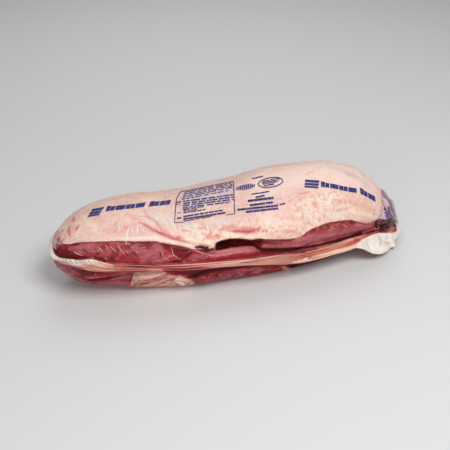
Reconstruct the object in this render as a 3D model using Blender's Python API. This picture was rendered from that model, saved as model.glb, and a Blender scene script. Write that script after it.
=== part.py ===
"""Vacuum-packed raw beef flat iron: two slabs of shoulder beef in one clear shrink bag.

The bag is drawn tight on the meat, so the pack is one closed solid. Its upper slab is a
long dome with a fat cover, which ends in an edge above the cut side of the lean. The lower
slab lies under it and rests flat. Where the two sides of the bag meet they form a stiff
seam fin that runs all the way round between the slabs, and the bag's spare corner is
shrunk to a thick ear that hangs from the fin at the thick end.

Metres, +Z up. +X runs along the pack, from the thin end to the thick end, and -Y is the
front, where the cut lean shows. The origin is under the middle of the pack.

A place on the surface is a bearing in plan (0 is the thick end, 90 degrees the back, 180
the thin end and 270 the front) and a row, counted down from the crown to the underside.
"""

from math import acos, asin, atan2, cos, degrees, hypot, pi, radians, sin, sqrt

import bmesh
import bpy
from mathutils import Matrix, Vector

# Driving dimensions
HALF_LENGTH = 0.2115  # from the middle to either tip of the meat, at the seam
END_FULLNESS = 3.1  # 2 would make the plan an ellipse, more makes it blunter
CROWN_FULLNESS = 2.6  # the same for the upper slab's cross-section
BELLY_ROUNDING = 0.55  # how tightly the lower slab turns under
SAG = 0.012  # how far the soft lower slab is pressed flat by its own weight

# Sizes at nine even stations from the thin end to the thick end
FRONT_HALF_WIDTH = (0.062, 0.060, 0.063, 0.067, 0.069, 0.069, 0.067, 0.068, 0.076)
BACK_HALF_WIDTH = (0.073, 0.072, 0.070, 0.070, 0.072, 0.073, 0.076, 0.078, 0.080)
SEAM_HEIGHT = (0.057, 0.053, 0.048, 0.045, 0.041, 0.037, 0.034, 0.031, 0.027)
CROWN_RISE = (0.047, 0.050, 0.048, 0.041, 0.050, 0.063, 0.073, 0.084, 0.086)
BELLY_FULLNESS = (9.0, 4.0, 3.1, 3.2, 3.2, 3.2, 3.2, 3.2, 3.2)

# The fat cover's edge, as heights above the seam: in front at 17 even stations, where it
# dips to a tongue left of the middle, and behind at nine
FRONT_FAT_EDGE = (
    0.0100, 0.0195, 0.0255, 0.0268, 0.0257, 0.0200, 0.0125, 0.0215, 0.0218,
    0.0188, 0.0165, 0.0255, 0.0290, 0.0262, 0.0170, 0.0090, 0.0060,
)  # fmt: skip
BACK_FAT_EDGE = (0.0100, 0.0200, 0.0240, 0.0200, 0.0160, 0.0200, 0.0240, 0.0160, 0.0060)

# What the cut side below that edge does, as depths behind the smooth dome
LEAN_SETBACK = 0.0030  # the lean, behind the fat's edge
HOLLOW_DEPTH = 0.0130  # the hollow under the fat in the middle of the front
HOLLOW_REACH = (-0.056, -0.034, 0.008, 0.072)  # where it starts, is full and ends
LOBE_SWELL = 0.0035  # the lobe of lean that stands proud below the hollow
LOBE_REACH = (-0.075, -0.045, 0.035, 0.075)
GROOVE_DEPTH = 0.0050  # the groove between the lean and the fin
GROOVE_REACH = (0.030, 0.085, 0.160, 0.195)
# The height that splits the cut side, as a share of the way down it, at 17 even stations.
# It is the lobe's upper edge where there is a lobe.
SIDE_LINE = (
    0.60, 0.60, 0.60, 0.60, 0.60, 0.52, 0.36, 0.38, 0.42,
    0.60, 0.78, 0.80, 0.80, 0.80, 0.75, 0.70, 0.60,
)  # fmt: skip
# The cut side's rows: how far down to the side line, how far from there to the seam, and
# how much of the lean's setback, the hollow, the lobe and the groove each one takes
SIDE_ROWS = (
    (0.16, 0.0, 1.0, 0.75, 0.0, 0.0),
    (0.52, 0.0, 0.7, 1.0, 0.0, 0.0),
    (0.86, 0.0, 0.6, 1.0, 0.0, 0.4),
    (1.0, 0.22, 0.5, 0.0, 0.9, 0.8),
    (1.0, 0.60, 0.6, 0.0, 1.0, 1.0),
)

# The seam fin. Everywhere it stands out, hangs down and starts above the seam by this:
FIN_OUT, FIN_DOWN, FIN_ABOVE = 0.0030, 0.0025, 0.0014
FIN_BELOW = 0.0014  # its lower root's distance under the seam
FIN_EDGE_THICKNESS = 0.0018
# and each swelling adds to those three about its middle bearing, over its half width
FIN_SWELLS = (
    (214.0, 34.0, 0.0035, 0.0060, 0.0000),  # the broad fold at the thin end
    (215.0, 9.0, 0.0000, 0.0000, 0.0040),  # the peak in that fold
    (262.0, 34.0, 0.0015, 0.0035, 0.0000),  # the narrow middle of the front
    (298.0, 36.0, 0.0035, 0.0060, 0.0000),  # the skirt towards the thick end
    (320.0, 16.0, 0.0060, 0.0000, 0.0000),  # which flares out into the ear
    (112.0, 48.0, 0.0025, 0.0040, 0.0020),  # the fin behind
)
EAR_SWELL = (331.0, 22.0, 0.0085, 0.0220, 0.0010)  # the bag's spare corner
EAR_THICKNESS = 0.0030  # what the crumpled corner adds to the edge's thickness

# The lower slab's front: a lump of fat that stands proud, and a crease beside it. Each is
# a middle bearing and half width in degrees, and how far it stands out.
BELLY_FOLDS = ((252.0, 17.0, 0.0030), (231.0, 9.0, -0.0028), (285.0, 22.0, -0.0022))

# Soft dents in the fat cover: place along and across, reach each way, depth
DENTS = (
    (0.098, -0.028, 0.020, 0.034, 0.0022),
    (-0.030, -0.045, 0.026, 0.018, 0.0030),
    (-0.094, -0.020, 0.014, 0.030, 0.0020),
    (0.020, 0.036, 0.040, 0.022, 0.0018),
    (-0.130, 0.034, 0.030, 0.018, 0.0016),
    (0.150, 0.030, 0.022, 0.028, 0.0020),
)

# Mesh
AROUND = 144  # points round the plan
EVENING = 0.15  # spreads them evenly between the sides and the tips
COVER_ROWS = 10  # from the crown to the fat's edge
BELLY_ROWS = 6  # from the fin to the edge of the flat underside
FLAT_ROWS = 2  # on the flat underside
LAST_COVER_ROW = COVER_ROWS
FIRST_FIN_ROW = LAST_COVER_ROW + len(SIDE_ROWS) + 1
LAST_FIN_ROW = FIRST_FIN_ROW + 3
LAST_BELLY_ROW = LAST_FIN_ROW + BELLY_ROWS
ALL_ROWS = LAST_BELLY_ROW + FLAT_ROWS + 1

BEEF_UNDER_FILM = (0.72, 0.42, 0.38, 1.0)


def along(values, x):
    """A smooth curve through values at even stations from tip to tip."""
    last = len(values) - 1
    place = min(max((x / HALF_LENGTH + 1) / 2 * last, 0.0), float(last))
    k = min(int(place), last - 1)
    t = place - k
    b, c = values[k], values[k + 1]
    a = values[k - 1] if k else 2 * b - c
    d = values[k + 2] if k + 2 <= last else 2 * c - b
    return 0.5 * (
        2 * b + (c - a) * t + (2 * a - 5 * b + 4 * c - d) * t**2
        + (3 * b - a - 3 * c + d) * t**3
    )  # fmt: skip


def ease(t):
    """0 below 0, 1 above 1, and a smooth step between."""
    t = min(max(t, 0.0), 1.0)
    return t * t * (3 - 2 * t)


def reach(x, ends):
    """0 outside the outer two ends, 1 between the inner two."""
    start, full, fading, end = ends
    return ease((x - start) / (full - start)) * ease((end - x) / (end - fading))


def swell(value, middle, half):
    """1 at the middle, falling smoothly to 0 at half away."""
    away = abs(value - middle) / half
    return cos(away * pi / 2) ** 2 if away < 1 else 0.0


def is_front(bearing):
    return sin(bearing) < 0


def outline(bearing):
    """The seam's place in plan at this bearing."""
    x = HALF_LENGTH * cos(bearing)
    end = sqrt(max(0.0, 1 - abs(cos(bearing)) ** END_FULLNESS))
    if is_front(bearing):
        return x, -along(FRONT_HALF_WIDTH, x) * end
    return x, along(BACK_HALF_WIDTH, x) * end


def outward(bearing):
    """The level unit vector that points out of the plan at this bearing."""
    step = 0.01
    (x0, y0), (x1, y1) = outline(bearing - step), outline(bearing + step)
    long = hypot(x1 - x0, y1 - y0)
    return Vector(((y1 - y0) / long, -(x1 - x0) / long, 0.0))


def side_share(bearing):
    """1 where the surface faces the front or the back, 0 at the tips."""
    return ease(abs(outward(bearing).y) / 0.45)


def dome_point(bearing, angle):
    """The upper slab before its cut side is set back: angle 0 is the crown, pi/2 the seam."""
    rho = sin(angle)
    x, y = (edge * rho for edge in outline(bearing))
    dent = sum(
        depth * swell(x, at_x, reach_x) * swell(y, at_y, reach_y)
        for at_x, at_y, reach_x, reach_y, depth in DENTS
    )
    rise = along(CROWN_RISE, x) * sqrt(1 - rho**CROWN_FULLNESS)
    return Vector((x, y, along(SEAM_HEIGHT, x) + rise - dent))


def fat_edge_angle(bearing):
    """The angle down the dome at which the fat cover ends."""
    heights = FRONT_FAT_EDGE if is_front(bearing) else BACK_FAT_EDGE
    low, high = 0.0, pi / 2
    for _ in range(24):
        angle = (low + high) / 2
        point = dome_point(bearing, angle)
        if point.z > along(SEAM_HEIGHT, point.x) + along(heights, point.x):
            low = angle
        else:
            high = angle
    return high


def cover_point(bearing, row):
    return dome_point(bearing, fat_edge_angle(bearing) * row / COVER_ROWS)


def side_point(bearing, side_row):
    """A point on the cut side, between the fat's edge and the fin."""
    to_line, past_line, lean, hollow, lobe, groove = side_row
    top = fat_edge_angle(bearing)
    x = dome_point(bearing, top).x
    line = along(SIDE_LINE, x)
    share = line * to_line + (1 - line) * past_line
    point = dome_point(bearing, top + (pi / 2 - top) * share)
    depth = lean * LEAN_SETBACK
    if is_front(bearing):
        depth += hollow * HOLLOW_DEPTH * reach(x, HOLLOW_REACH)
        depth += groove * GROOVE_DEPTH * reach(x, GROOVE_REACH)
        depth -= lobe * LOBE_SWELL * reach(x, LOBE_REACH)
    return point - outward(bearing) * depth * side_share(bearing)


def fin_point(bearing, step):
    """The fin's section: 0 its upper root, 1 and 2 its edge, 3 its lower root."""
    turn = degrees(bearing) % 360
    swells = [(swell(turn, s[0], s[1]), s[2:]) for s in FIN_SWELLS]
    ear = sqrt(swell(turn, EAR_SWELL[0], EAR_SWELL[1]))
    swells.append((ear, EAR_SWELL[2:]))
    out = FIN_OUT + sum(here * more[0] for here, more in swells)
    down = FIN_DOWN + sum(here * more[1] for here, more in swells)
    above = FIN_ABOVE + sum(here * more[2] for here, more in swells)
    half = (FIN_EDGE_THICKNESS + EAR_THICKNESS * ear) / 2
    x, y = outline(bearing)
    seam = Vector((x, y, along(SEAM_HEIGHT, x)))
    up = Vector((0.0, 0.0, 1.0))
    if step == 0:
        groove = 0.6 * GROOVE_DEPTH * reach(x, GROOVE_REACH) if is_front(bearing) else 0.0
        return seam + up * above - outward(bearing) * groove * side_share(bearing)
    if step == 3:
        return seam - up * FIN_BELOW
    slope = outward(bearing) * out - up * down
    across = (outward(bearing) * down + up * out).normalized()
    return seam + slope + across * (half if step == 1 else -half)


def belly_point(bearing, angle):
    """A point on the lower slab: angle 0 is the underside's middle, pi/2 the seam."""
    rho = sin(angle)
    x, y = (edge * rho for edge in outline(bearing))
    seam = along(SEAM_HEIGHT, x)
    drop = (seam + SAG) * (1 - rho ** along(BELLY_FULLNESS, x)) ** BELLY_ROUNDING
    return Vector((x, y, max(0.0, seam - drop)))


def flat_angle(bearing):
    """The angle at which the lower slab's side meets the flat underside."""
    low, high = 0.0, pi / 2
    for _ in range(24):
        angle = (low + high) / 2
        if belly_point(bearing, angle).z > 0:
            high = angle
        else:
            low = angle
    return low


def belly_side_point(bearing, share):
    """A point on the lower slab's side: share 0 is the flat's edge, 1 the seam."""
    flat = flat_angle(bearing)
    point = belly_point(bearing, flat + (pi / 2 - flat) * share)
    turn = degrees(bearing) % 360
    fold = sum(height * swell(turn, middle, half) for middle, half, height in BELLY_FOLDS)
    return point + outward(bearing) * fold * swell(share, 0.5, 0.5)


def pack_point(bearing, row):
    if row <= LAST_COVER_ROW:
        return cover_point(bearing, row)
    if row < FIRST_FIN_ROW:
        return side_point(bearing, SIDE_ROWS[row - LAST_COVER_ROW - 1])
    if row <= LAST_FIN_ROW:
        return fin_point(bearing, row - FIRST_FIN_ROW)
    if row <= LAST_BELLY_ROW:
        return belly_side_point(bearing, (LAST_BELLY_ROW - row) / BELLY_ROWS)
    inner = (ALL_ROWS - row) / (FLAT_ROWS + 1)
    return belly_point(bearing, flat_angle(bearing) * inner)


def centre_on_origin(bm):
    """Puts the middle of the pack's box over the origin, with its lowest point at 0."""
    low = Vector([min(v.co[k] for v in bm.verts) for k in range(3)])
    high = Vector([max(v.co[k] for v in bm.verts) for k in range(3)])
    shift = Vector((-(low.x + high.x) / 2, -(low.y + high.y) / 2, -low.z))
    bmesh.ops.translate(bm, vec=shift, verts=bm.verts)


def pack_mesh():
    """A sphere whose latitudes become the pack's rows, from the crown to the underside."""
    bm = bmesh.new()
    bmesh.ops.create_uvsphere(bm, u_segments=AROUND, v_segments=ALL_ROWS, radius=1.0)
    for v in bm.verts:
        row = round(acos(max(-1.0, min(1.0, v.co.z))) / pi * ALL_ROWS)
        bearing = atan2(v.co.y, v.co.x)
        bearing += EVENING * sin(2 * bearing)
        v.co = pack_point(bearing, row)
    centre_on_origin(bm)
    bmesh.ops.recalc_face_normals(bm, faces=bm.faces)
    mesh = bpy.data.meshes.new("vacuum_bag")
    bm.to_mesh(mesh)
    bm.free()
    return mesh


def film_over_beef():
    material = bpy.data.materials.new("film_over_beef")
    material.use_nodes = True
    shader = material.node_tree.nodes["Principled BSDF"]
    shader.inputs["Base Color"].default_value = BEEF_UNDER_FILM
    shader.inputs["Roughness"].default_value = 0.25
    shader.inputs["Metallic"].default_value = 0.0
    return material


def main():
    for old in list(bpy.data.objects):
        bpy.data.objects.remove(old)
    mesh = pack_mesh()
    mesh.shade_smooth()
    mesh.set_sharp_from_angle(angle=radians(50))
    mesh.materials.append(film_over_beef())
    pack = bpy.data.objects.new("vacuum_bag", mesh)
    pack.matrix_world = Matrix.Identity(4)
    bpy.context.scene.collection.objects.link(pack)


main()
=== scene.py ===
from math import ceil, cos, hypot, pi, radians, sin

import bmesh
import bpy
import numpy as np
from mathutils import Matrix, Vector, noise
from mathutils.bvhtree import BVHTree


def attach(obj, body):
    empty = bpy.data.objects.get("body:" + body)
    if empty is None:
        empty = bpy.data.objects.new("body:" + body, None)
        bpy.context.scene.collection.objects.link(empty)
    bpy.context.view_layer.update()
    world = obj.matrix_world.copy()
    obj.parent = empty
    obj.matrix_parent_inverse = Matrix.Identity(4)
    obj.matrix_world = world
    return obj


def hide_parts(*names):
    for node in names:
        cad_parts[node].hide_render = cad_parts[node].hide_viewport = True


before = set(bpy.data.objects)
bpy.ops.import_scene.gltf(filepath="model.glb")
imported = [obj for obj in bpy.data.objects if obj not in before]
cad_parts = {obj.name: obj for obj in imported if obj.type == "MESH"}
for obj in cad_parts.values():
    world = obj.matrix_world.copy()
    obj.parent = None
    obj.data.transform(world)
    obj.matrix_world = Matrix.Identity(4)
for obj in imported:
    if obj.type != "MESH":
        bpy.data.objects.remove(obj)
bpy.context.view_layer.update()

# ---------------------------------------------------------------------------------------
# The pack's form, in metres: +X towards the thick end, -Y the front, +Z up. A place on it is
# a bearing in plan (0 is the thick end, 180 degrees the thin end, 270 the front) and a level
# counted down from the crown.

MILLIMETRE = 0.001
HALF_LENGTH = 0.2115
END_FULLNESS = 3.1
CROWN_FULLNESS = 2.6
BELLY_ROUNDING = 0.55
SAG = 0.012

# Sizes at even stations from the thin end to the thick end
FRONT_HALF_WIDTH = (0.062, 0.060, 0.063, 0.067, 0.069, 0.069, 0.067, 0.068, 0.076)
BACK_HALF_WIDTH = (0.073, 0.072, 0.070, 0.070, 0.072, 0.073, 0.076, 0.078, 0.080)
SEAM_HEIGHT = (0.057, 0.053, 0.048, 0.045, 0.041, 0.037, 0.034, 0.031, 0.027)
CROWN_RISE = (0.047, 0.050, 0.048, 0.041, 0.050, 0.063, 0.073, 0.084, 0.086)
BELLY_FULLNESS = (9.0, 4.0, 3.1, 3.2, 3.2, 3.2, 3.2, 3.2, 3.2)
FRONT_FAT_EDGE = (
    0.0100, 0.0195, 0.0255, 0.0268, 0.0257, 0.0200, 0.0125, 0.0215, 0.0218,
    0.0188, 0.0165, 0.0255, 0.0290, 0.0262, 0.0170, 0.0090, 0.0060,
)
BACK_FAT_EDGE = (0.0100, 0.0200, 0.0240, 0.0200, 0.0160, 0.0200, 0.0240, 0.0160, 0.0060)
# Where the hollow of the cut side gives way to the lobe below it: share of the way down
SIDE_LINE = (
    0.60, 0.60, 0.60, 0.60, 0.60, 0.52, 0.36, 0.38, 0.42,
    0.60, 0.78, 0.80, 0.80, 0.80, 0.75, 0.70, 0.60,
)

# Relief of the upper slab's cut side. A reach runs along X: where it starts, is full, starts
# to fade and ends.
LEAN_SETBACK = 0.0030
HOLLOW_DEPTH = 0.0130
HOLLOW_REACH = (-0.056, -0.034, 0.008, 0.072)
LOBE_SWELL = 0.0035
LOBE_REACH = (-0.075, -0.045, 0.035, 0.075)
GROOVE_DEPTH = 0.0050
GROOVE_REACH = (0.030, 0.085, 0.160, 0.195)
FULL_RELIEF = 0.45  # how far the outline faces front or back where the relief is full
FAT_EDGE_BLEND = 0.010  # over which the photo's line of the fat's edge takes over

# The fin: how far its edge stands out from the seam and hangs below it, and how far above the
# seam its root lies
FIN_OUT, FIN_DOWN, FIN_ABOVE = 0.0030, 0.0025, 0.0014
FIN_BELOW = 0.0014  # how far below the seam its inner face ends
FIN_EDGE_THICKNESS = 0.0018
FIN_GROOVE_SHARE = 0.6  # how much of the slab's groove its root follows
# Where it is wider: bearing and half width in degrees, then how much further out, down and up
FIN_SWELLS = (
    (214.0, 34.0, 0.0035, 0.0060, 0.0000),
    (215.0, 9.0, 0.0000, 0.0000, 0.0040),
    (262.0, 34.0, 0.0015, 0.0035, 0.0000),
    (298.0, 36.0, 0.0035, 0.0060, 0.0000),
    (320.0, 16.0, 0.0060, 0.0000, 0.0000),
    (112.0, 48.0, 0.0025, 0.0040, 0.0020),
)
EAR_SWELL = (331.0, 22.0, 0.0085, 0.0220, 0.0010)
# How the photo shows the fin to lie: at each bearing, how far it moves out and down as a
# whole, then how much further its edge does, in millimetres
FIN_FIT = (
    (0, 2.0, 0, 1.2, 0), (6, 1.0, 0, 0.5, 0), (12, 0, 0, 0, 0), (168, 0, 0, 0, 0),
    (176, 0.2, 0, -0.6, 0), (180, 0.6, 0.5, -0.9, 0), (184, 1.5, 3.1, -0.8, -0.3),
    (188, 2.5, 6.7, -0.4, -2.7), (192, 1.3, 7.8, 0, -2.9), (196, 1.2, 6.8, -0.4, -4.4),
    (200, 1.2, 5.2, -0.4, -4.5), (204, 1.0, 3.6, -0.4, -5.2), (208, 0.9, 3.6, 0, -5.4),
    (212, 0.9, 3.6, 0, -4.5), (216, 0.9, 3.6, 0, -3.6), (224, 0.9, 3.6, 0, -2.8),
    (232, 0.9, 3.6, 0, -1.2), (240, 0.9, 3.6, 0, -1.2), (252, 0.9, 3.6, 0, -1.8),
    (260, 0.9, 3.6, 0, -3.6), (268, 0.9, 3.6, 0, -2.8), (272, 0.8, 3.6, 0, -1.6),
    (276, 0.6, 3.1, 0, 0.2), (280, 0.4, 2.1, 0, 2.3), (284, 0.2, 0.9, 0, 3.9),
    (288, 0, 0.1, 0, 4.9), (292, 0, 0, 0, 4.1), (296, 0, 0, 0, 2.9), (300, 0, 0, 0, 2.0),
    (304, 0, 0, 0, 2.5), (308, 0, 0, 0, 2.2), (312, 0, 0, 0, 0.5), (316, 0, 0, 0, 3.3),
    (320, 0, 0, 0, 2.2), (324, 0, 0, 0, -0.6), (327, 0, 0, -1.2, -0.6), (330, 0, 0, -2.4, 0),
    (331.2, 0, 0, -0.4, 0), (332.2, 0, 0, 1.6, 0), (333.4, 0, 0, 1.0, 0), (334.6, 0, 0, -0.5, 0),
    (337, 0, 0, -2.2, 0), (339.5, 0, 0, -0.8, 0), (342, 0, 0, 1.8, 0), (344.5, 0, 0, 2.8, 0),
    (347, 0, 0, 1.0, 0), (350, 0.8, 0, 0.4, 0), (355, 2.0, 0, 1.2, 0), (360, 2.0, 0, 1.2, 0),
)

# Dents in the top: x and y of the middle, reach along each, depth
DENTS = (
    (0.098, -0.028, 0.020, 0.034, 0.0022),
    (-0.030, -0.045, 0.026, 0.018, 0.0030),
    (-0.094, -0.020, 0.014, 0.030, 0.0020),
    (0.020, 0.036, 0.040, 0.022, 0.0018),
    (-0.130, 0.034, 0.030, 0.018, 0.0016),
    (0.150, 0.030, 0.022, 0.028, 0.0020),
    (0.189, 0.000, 0.030, 0.036, 0.0045),
    (-0.197, 0.022, 0.022, 0.026, 0.0022),
    (-0.088, 0.046, 0.024, 0.022, 0.0024),
    (0.095, 0.042, 0.070, 0.026, 0.0016),
)
LOOSE_FILM = ((0.207, -0.018, 0.037), 0.026, 0.0030)  # middle, reach and height of a bulge
FILM_GAP = 0.00045  # between the meat and the film
# Folds round the lower slab: bearing and half width, height, then level and half height
# (0 at the underside, 1 at the seam)
BELLY_FOLDS = (
    (252.0, 17.0, 0.0030, 0.5, 0.5), (231.0, 9.0, -0.0028, 0.5, 0.5),
    (285.0, 22.0, -0.0022, 0.5, 0.5), (189.0, 16.0, 0.0042, 0.82, 0.24),
    (202.0, 20.0, -0.0008, 0.30, 0.30),
)

# ---------------------------------------------------------------------------------------
# The photo's frame: a place in it is (across, down) in pixels of the 450 x 450 image.

IMAGE = 450
FOCAL_PIXELS = 792.0
SENSOR_MM = 36.0
CAMERA_AZIMUTH, CAMERA_ELEVATION, CAMERA_DISTANCE = radians(-18.0), radians(32.0), 0.95
CAMERA_AIM = Vector((-0.0074, 0.0024, 0.0421))  # the point in the middle of the image
PIXEL = 0.00112  # what a pixel of the photo spans on the pack

# Where the fat's edge shows above the cut lean
FAT_EDGE_LINE = (
    (55, 242), (60, 243), (66, 244.2), (71, 244), (76, 242.6), (82, 242), (90, 241.5),
    (100, 241.3), (110, 240.6), (130, 240.4), (150, 240.8), (157, 241), (163, 243),
    (170, 244.2), (178, 245), (185, 247), (192, 248.5), (199, 249.5), (206, 249.3),
    (213, 248), (217, 244), (221, 241.3), (228, 239), (238, 238), (246, 239.2),
    (252, 240), (260, 238.6), (275, 239.2), (290, 239), (297, 237.6), (304, 234.5),
    (310, 229.5), (318, 226), (325, 223), (332, 221.3), (341, 220.4), (350, 219.6),
    (358, 221.6), (366, 223.5), (375, 224),
)

# Colours as they look on the pack, 0 to 255
PALETTE = {
    "blood": (198, 60, 74), "rose": (222, 140, 138), "cream": (248, 224, 198),
    "milk": (240, 230, 220), "grey milk": (226, 216, 206), "tan": (212, 152, 126),
    "orange": (206, 92, 48), "ember": (186, 48, 34), "wine": (112, 26, 34),
    # The near-black (52, 2, 6) is painted shade: shadow in hollows, grooves and creases, and under the
    # fin.
    "plum": (158, 88, 106), "painted_shadow": (52, 2, 6), "veil": (178, 96, 104),
    "glint": (240, 180, 176), "scarlet": (168, 26, 38), "lard": (240, 208, 182),
    "peach": (224, 162, 144), "clay": (98, 46, 38), "violet": (70, 44, 100),
    "lilac": (206, 190, 206), "deep": (92, 4, 10), "fleck": (176, 120, 112),
    "garnet": (112, 22, 30), "raw": (172, 54, 60), "mauve": (176, 98, 106),
    # The grey beige (182, 160, 148) is painted shade in the creases of the fin's shrunk corner and
    # between its ribs.
    "bloom": (192, 106, 110), "salmon": (200, 104, 96), "crease_shade": (182, 160, 148),
    "ivory": (240, 232, 222), "smoke": (128, 96, 110), "suet": (236, 202, 184),
    "rust": (188, 82, 44), "dusk": (112, 52, 60), "rim": (234, 220, 218), "shell": (206, 160, 158),
    "bone": (232, 207, 197), "tawny": (182, 124, 104), "brick": (164, 78, 70),
    "oxblood": (100, 18, 18), "prune": (140, 58, 66), "carmine": (146, 38, 46),
    # The pale pink (248, 224, 212) is a painted sheen: over the back of the crown, along the fat's lip
    # and across the fat lump.
    "painted_sheen": (248, 224, 212), "ash": (132, 116, 122), "umber": (168, 110, 92),
    "chalk": (238, 228, 214), "rosewood": (156, 66, 66), "sienna": (200, 136, 122),
    "orchid": (208, 178, 190), "thistle": (140, 112, 156), "indigo": (104, 94, 156),
    # The light greige (222, 208, 196) is painted shade on the facets of the fin's shrunk corner.
    # The near-white (255, 249, 243) is a painted highlight, on creases, folds and the fat lump.
    "maroon": (66, 14, 30), "fold_shade": (222, 208, 196), "painted_highlight": (255, 249, 243),
    "vein": (194, 88, 96), "blush": (226, 184, 176), "mist": (212, 204, 210),
}

# Fields of colour: colour, strength, softness of the edge in pixels, height in millimetres,
# then the outline in the photo, across and down in turn.
UPPER_FIELDS = (
    ("garnet", 0.4, 2.4, -0.1, 57, 245, 66, 246.4, 71, 250, 78, 255, 90, 257.4, 60, 258.6, 56, 252),
    ("deep", 0.6, 2.4, -0.1, 56, 250, 60, 252.4, 68, 254.4, 78, 256.6, 90, 257.6, 76, 260, 62, 260,
     56, 256),
    ("blush", 0.95, 0.6, 0, 57.4, 239, 61, 240, 65, 243.6, 62, 244.4, 57.6, 243.6),
    ("blush", 0.6, 2, 0, 122, 226, 128, 224, 140, 222, 148, 228, 154, 234, 146, 238, 130, 239,
     122, 236),
    ("mauve", 0.45, 1.8, 0, 74, 244, 96, 243, 98, 248, 90, 254, 80, 252, 74, 248),
    ("raw", 0.3, 2, 0, 100, 244, 112, 243, 124, 250, 130, 258, 122, 262, 108, 259, 100, 253),
    ("carmine", 0.6, 2, 0, 98, 252, 112, 254, 128, 254, 134, 259, 130, 262, 112, 261, 98, 257),
    ("carmine", 0.55, 2, 0, 84, 252, 98, 252, 100, 257, 88, 257),
    ("mauve", 0.5, 2, 0, 130, 246, 146, 249, 160, 247, 160, 258, 146, 261, 132, 256),
    ("garnet", 0.35, 1.6, 0, 138, 242, 156, 242, 154, 245, 148, 248, 138, 246),
    # Painted shadow along the foot of the cut side, above the fin
    ("oxblood", 0.85, 1.3, -0.3, 94, 256.6, 104, 258.6, 112, 259.8, 122, 261.4, 140, 262.2,
     152, 262.6, 160, 263.4, 170, 262, 176, 259.6, 184, 261, 186, 268, 160, 270, 120, 270,
     108, 268, 98, 262),
    ("garnet", 0.65, 1.8, 0, 162, 243, 178, 246, 190, 249, 187, 254, 180, 259, 174, 253, 164, 249),
    ("carmine", 0.85, 1, 0, 183, 256, 196, 250, 206, 255, 212, 259, 212, 262, 184, 262),
    ("prune", 0.55, 1.4, 0, 187, 257, 198, 253.6, 206, 257.6, 200, 259.6, 190, 259.6),
    # Painted shade in the hollow under the fat's edge and in the pocket beside it
    ("painted_shadow", 0.98, 0.7, -0.5, 215.6, 243.4, 218.4, 241.4, 224, 240, 230, 238.6, 246, 239.4,
     253, 241.6, 259, 246.6, 252, 245.6, 242, 246, 231, 247.4, 223, 249.6, 216, 250.4),
    ("garnet", 0.55, 1.2, 0, 226, 240.4, 246, 240, 252, 242.4, 246, 243.4, 232, 243),
    ("painted_shadow", 0.98, 0.6, -0.4, 195.6, 246.6, 203, 245, 208.6, 246.6, 207.4, 249.6, 201, 248.6,
     196, 248.4),
    ("dusk", 0.75, 0.8, 0, 197, 249.4, 207, 250, 214.6, 249, 215, 252, 206, 253, 200, 251.6),
    ("bloom", 0.85, 0.9, 0.3, 207, 252.6, 214, 250.8, 228, 249.8, 238, 247.2, 247, 246.2,
     256, 247.4, 254, 250.6, 240, 252.8, 226, 255.6, 214, 257),
    ("carmine", 0.72, 1, 0, 206, 258.8, 224, 258, 238, 254.6, 252, 252, 284, 251, 284, 254,
     262, 258, 244, 262, 224, 266, 206, 268),
    ("garnet", 0.7, 1, 0, 250, 239.6, 262, 239.2, 262, 247, 256, 246, 252, 243),
    ("mauve", 0.62, 1.2, 0, 262, 242, 296, 241, 308, 235, 322, 234, 340, 231, 346, 233,
     330, 239, 312, 244, 298, 246.6, 266, 247),
    # Painted shadow along the groove above the fin
    ("painted_shadow", 0.92, 0.9, -0.4, 254, 246.6, 262, 247.8, 280, 248, 300, 246.8, 314, 244.6, 330, 241,
     345, 236.8, 357, 232.8, 362, 231.6, 362, 235, 350, 238.6, 334, 243.4, 316, 248, 300, 251,
     268, 252.8, 260, 250.4),
    ("rosewood", 0.75, 0.9, 0, 303, 236, 311, 230, 319, 226.6, 326, 223.6, 334, 221.8, 350, 220.4,
     358, 222.6, 352, 226, 344, 229, 336, 228, 329, 231, 318, 233.4, 308, 234.4),
    ("plum", 0.45, 1.4, 0, 346, 228, 372, 225, 380, 229, 372, 232, 360, 233, 348, 234),
    ("orange", 0.55, 1.2, 0, 373, 229, 381, 228, 383, 232, 374, 233),
    ("lilac", 0.6, 1.6, 0, 183, 191.6, 207, 187, 233, 182, 233, 198, 208, 203, 183, 208),
    # Painted sheen over the back of the crown, towards the top outline
    ("painted_sheen", 0.55, 8, 0, 250, 178, 290, 166, 330, 160, 360, 170, 378, 188, 372, 196, 350, 186,
     320, 184, 290, 190, 256, 200),
    ("shell", 0.9, 1.2, 0, 40, 224, 58, 230, 61, 238, 60, 242.4, 57.6, 244.6, 56.4, 250, 56, 258,
     40, 258),
    # A whitish rim along the thin end's outline: partly the film's own haze, partly painted sheen
    ("rim", 0.8, 1, 0, 40, 228, 53.6, 236, 52.6, 243, 53, 250, 55, 258, 40, 258),
    ("blood", 0.6, 1.2, -0.2, 231, 229.6, 238, 230.4, 248, 230.6, 257, 228.4, 262, 226.6,
     258, 231.4, 250, 233.6, 240, 233.4, 232, 232.6),
    ("rose", 0.5, 2, 0, 222, 226, 240, 226, 256, 225, 250, 230, 232, 231, 222, 229),
)
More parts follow.
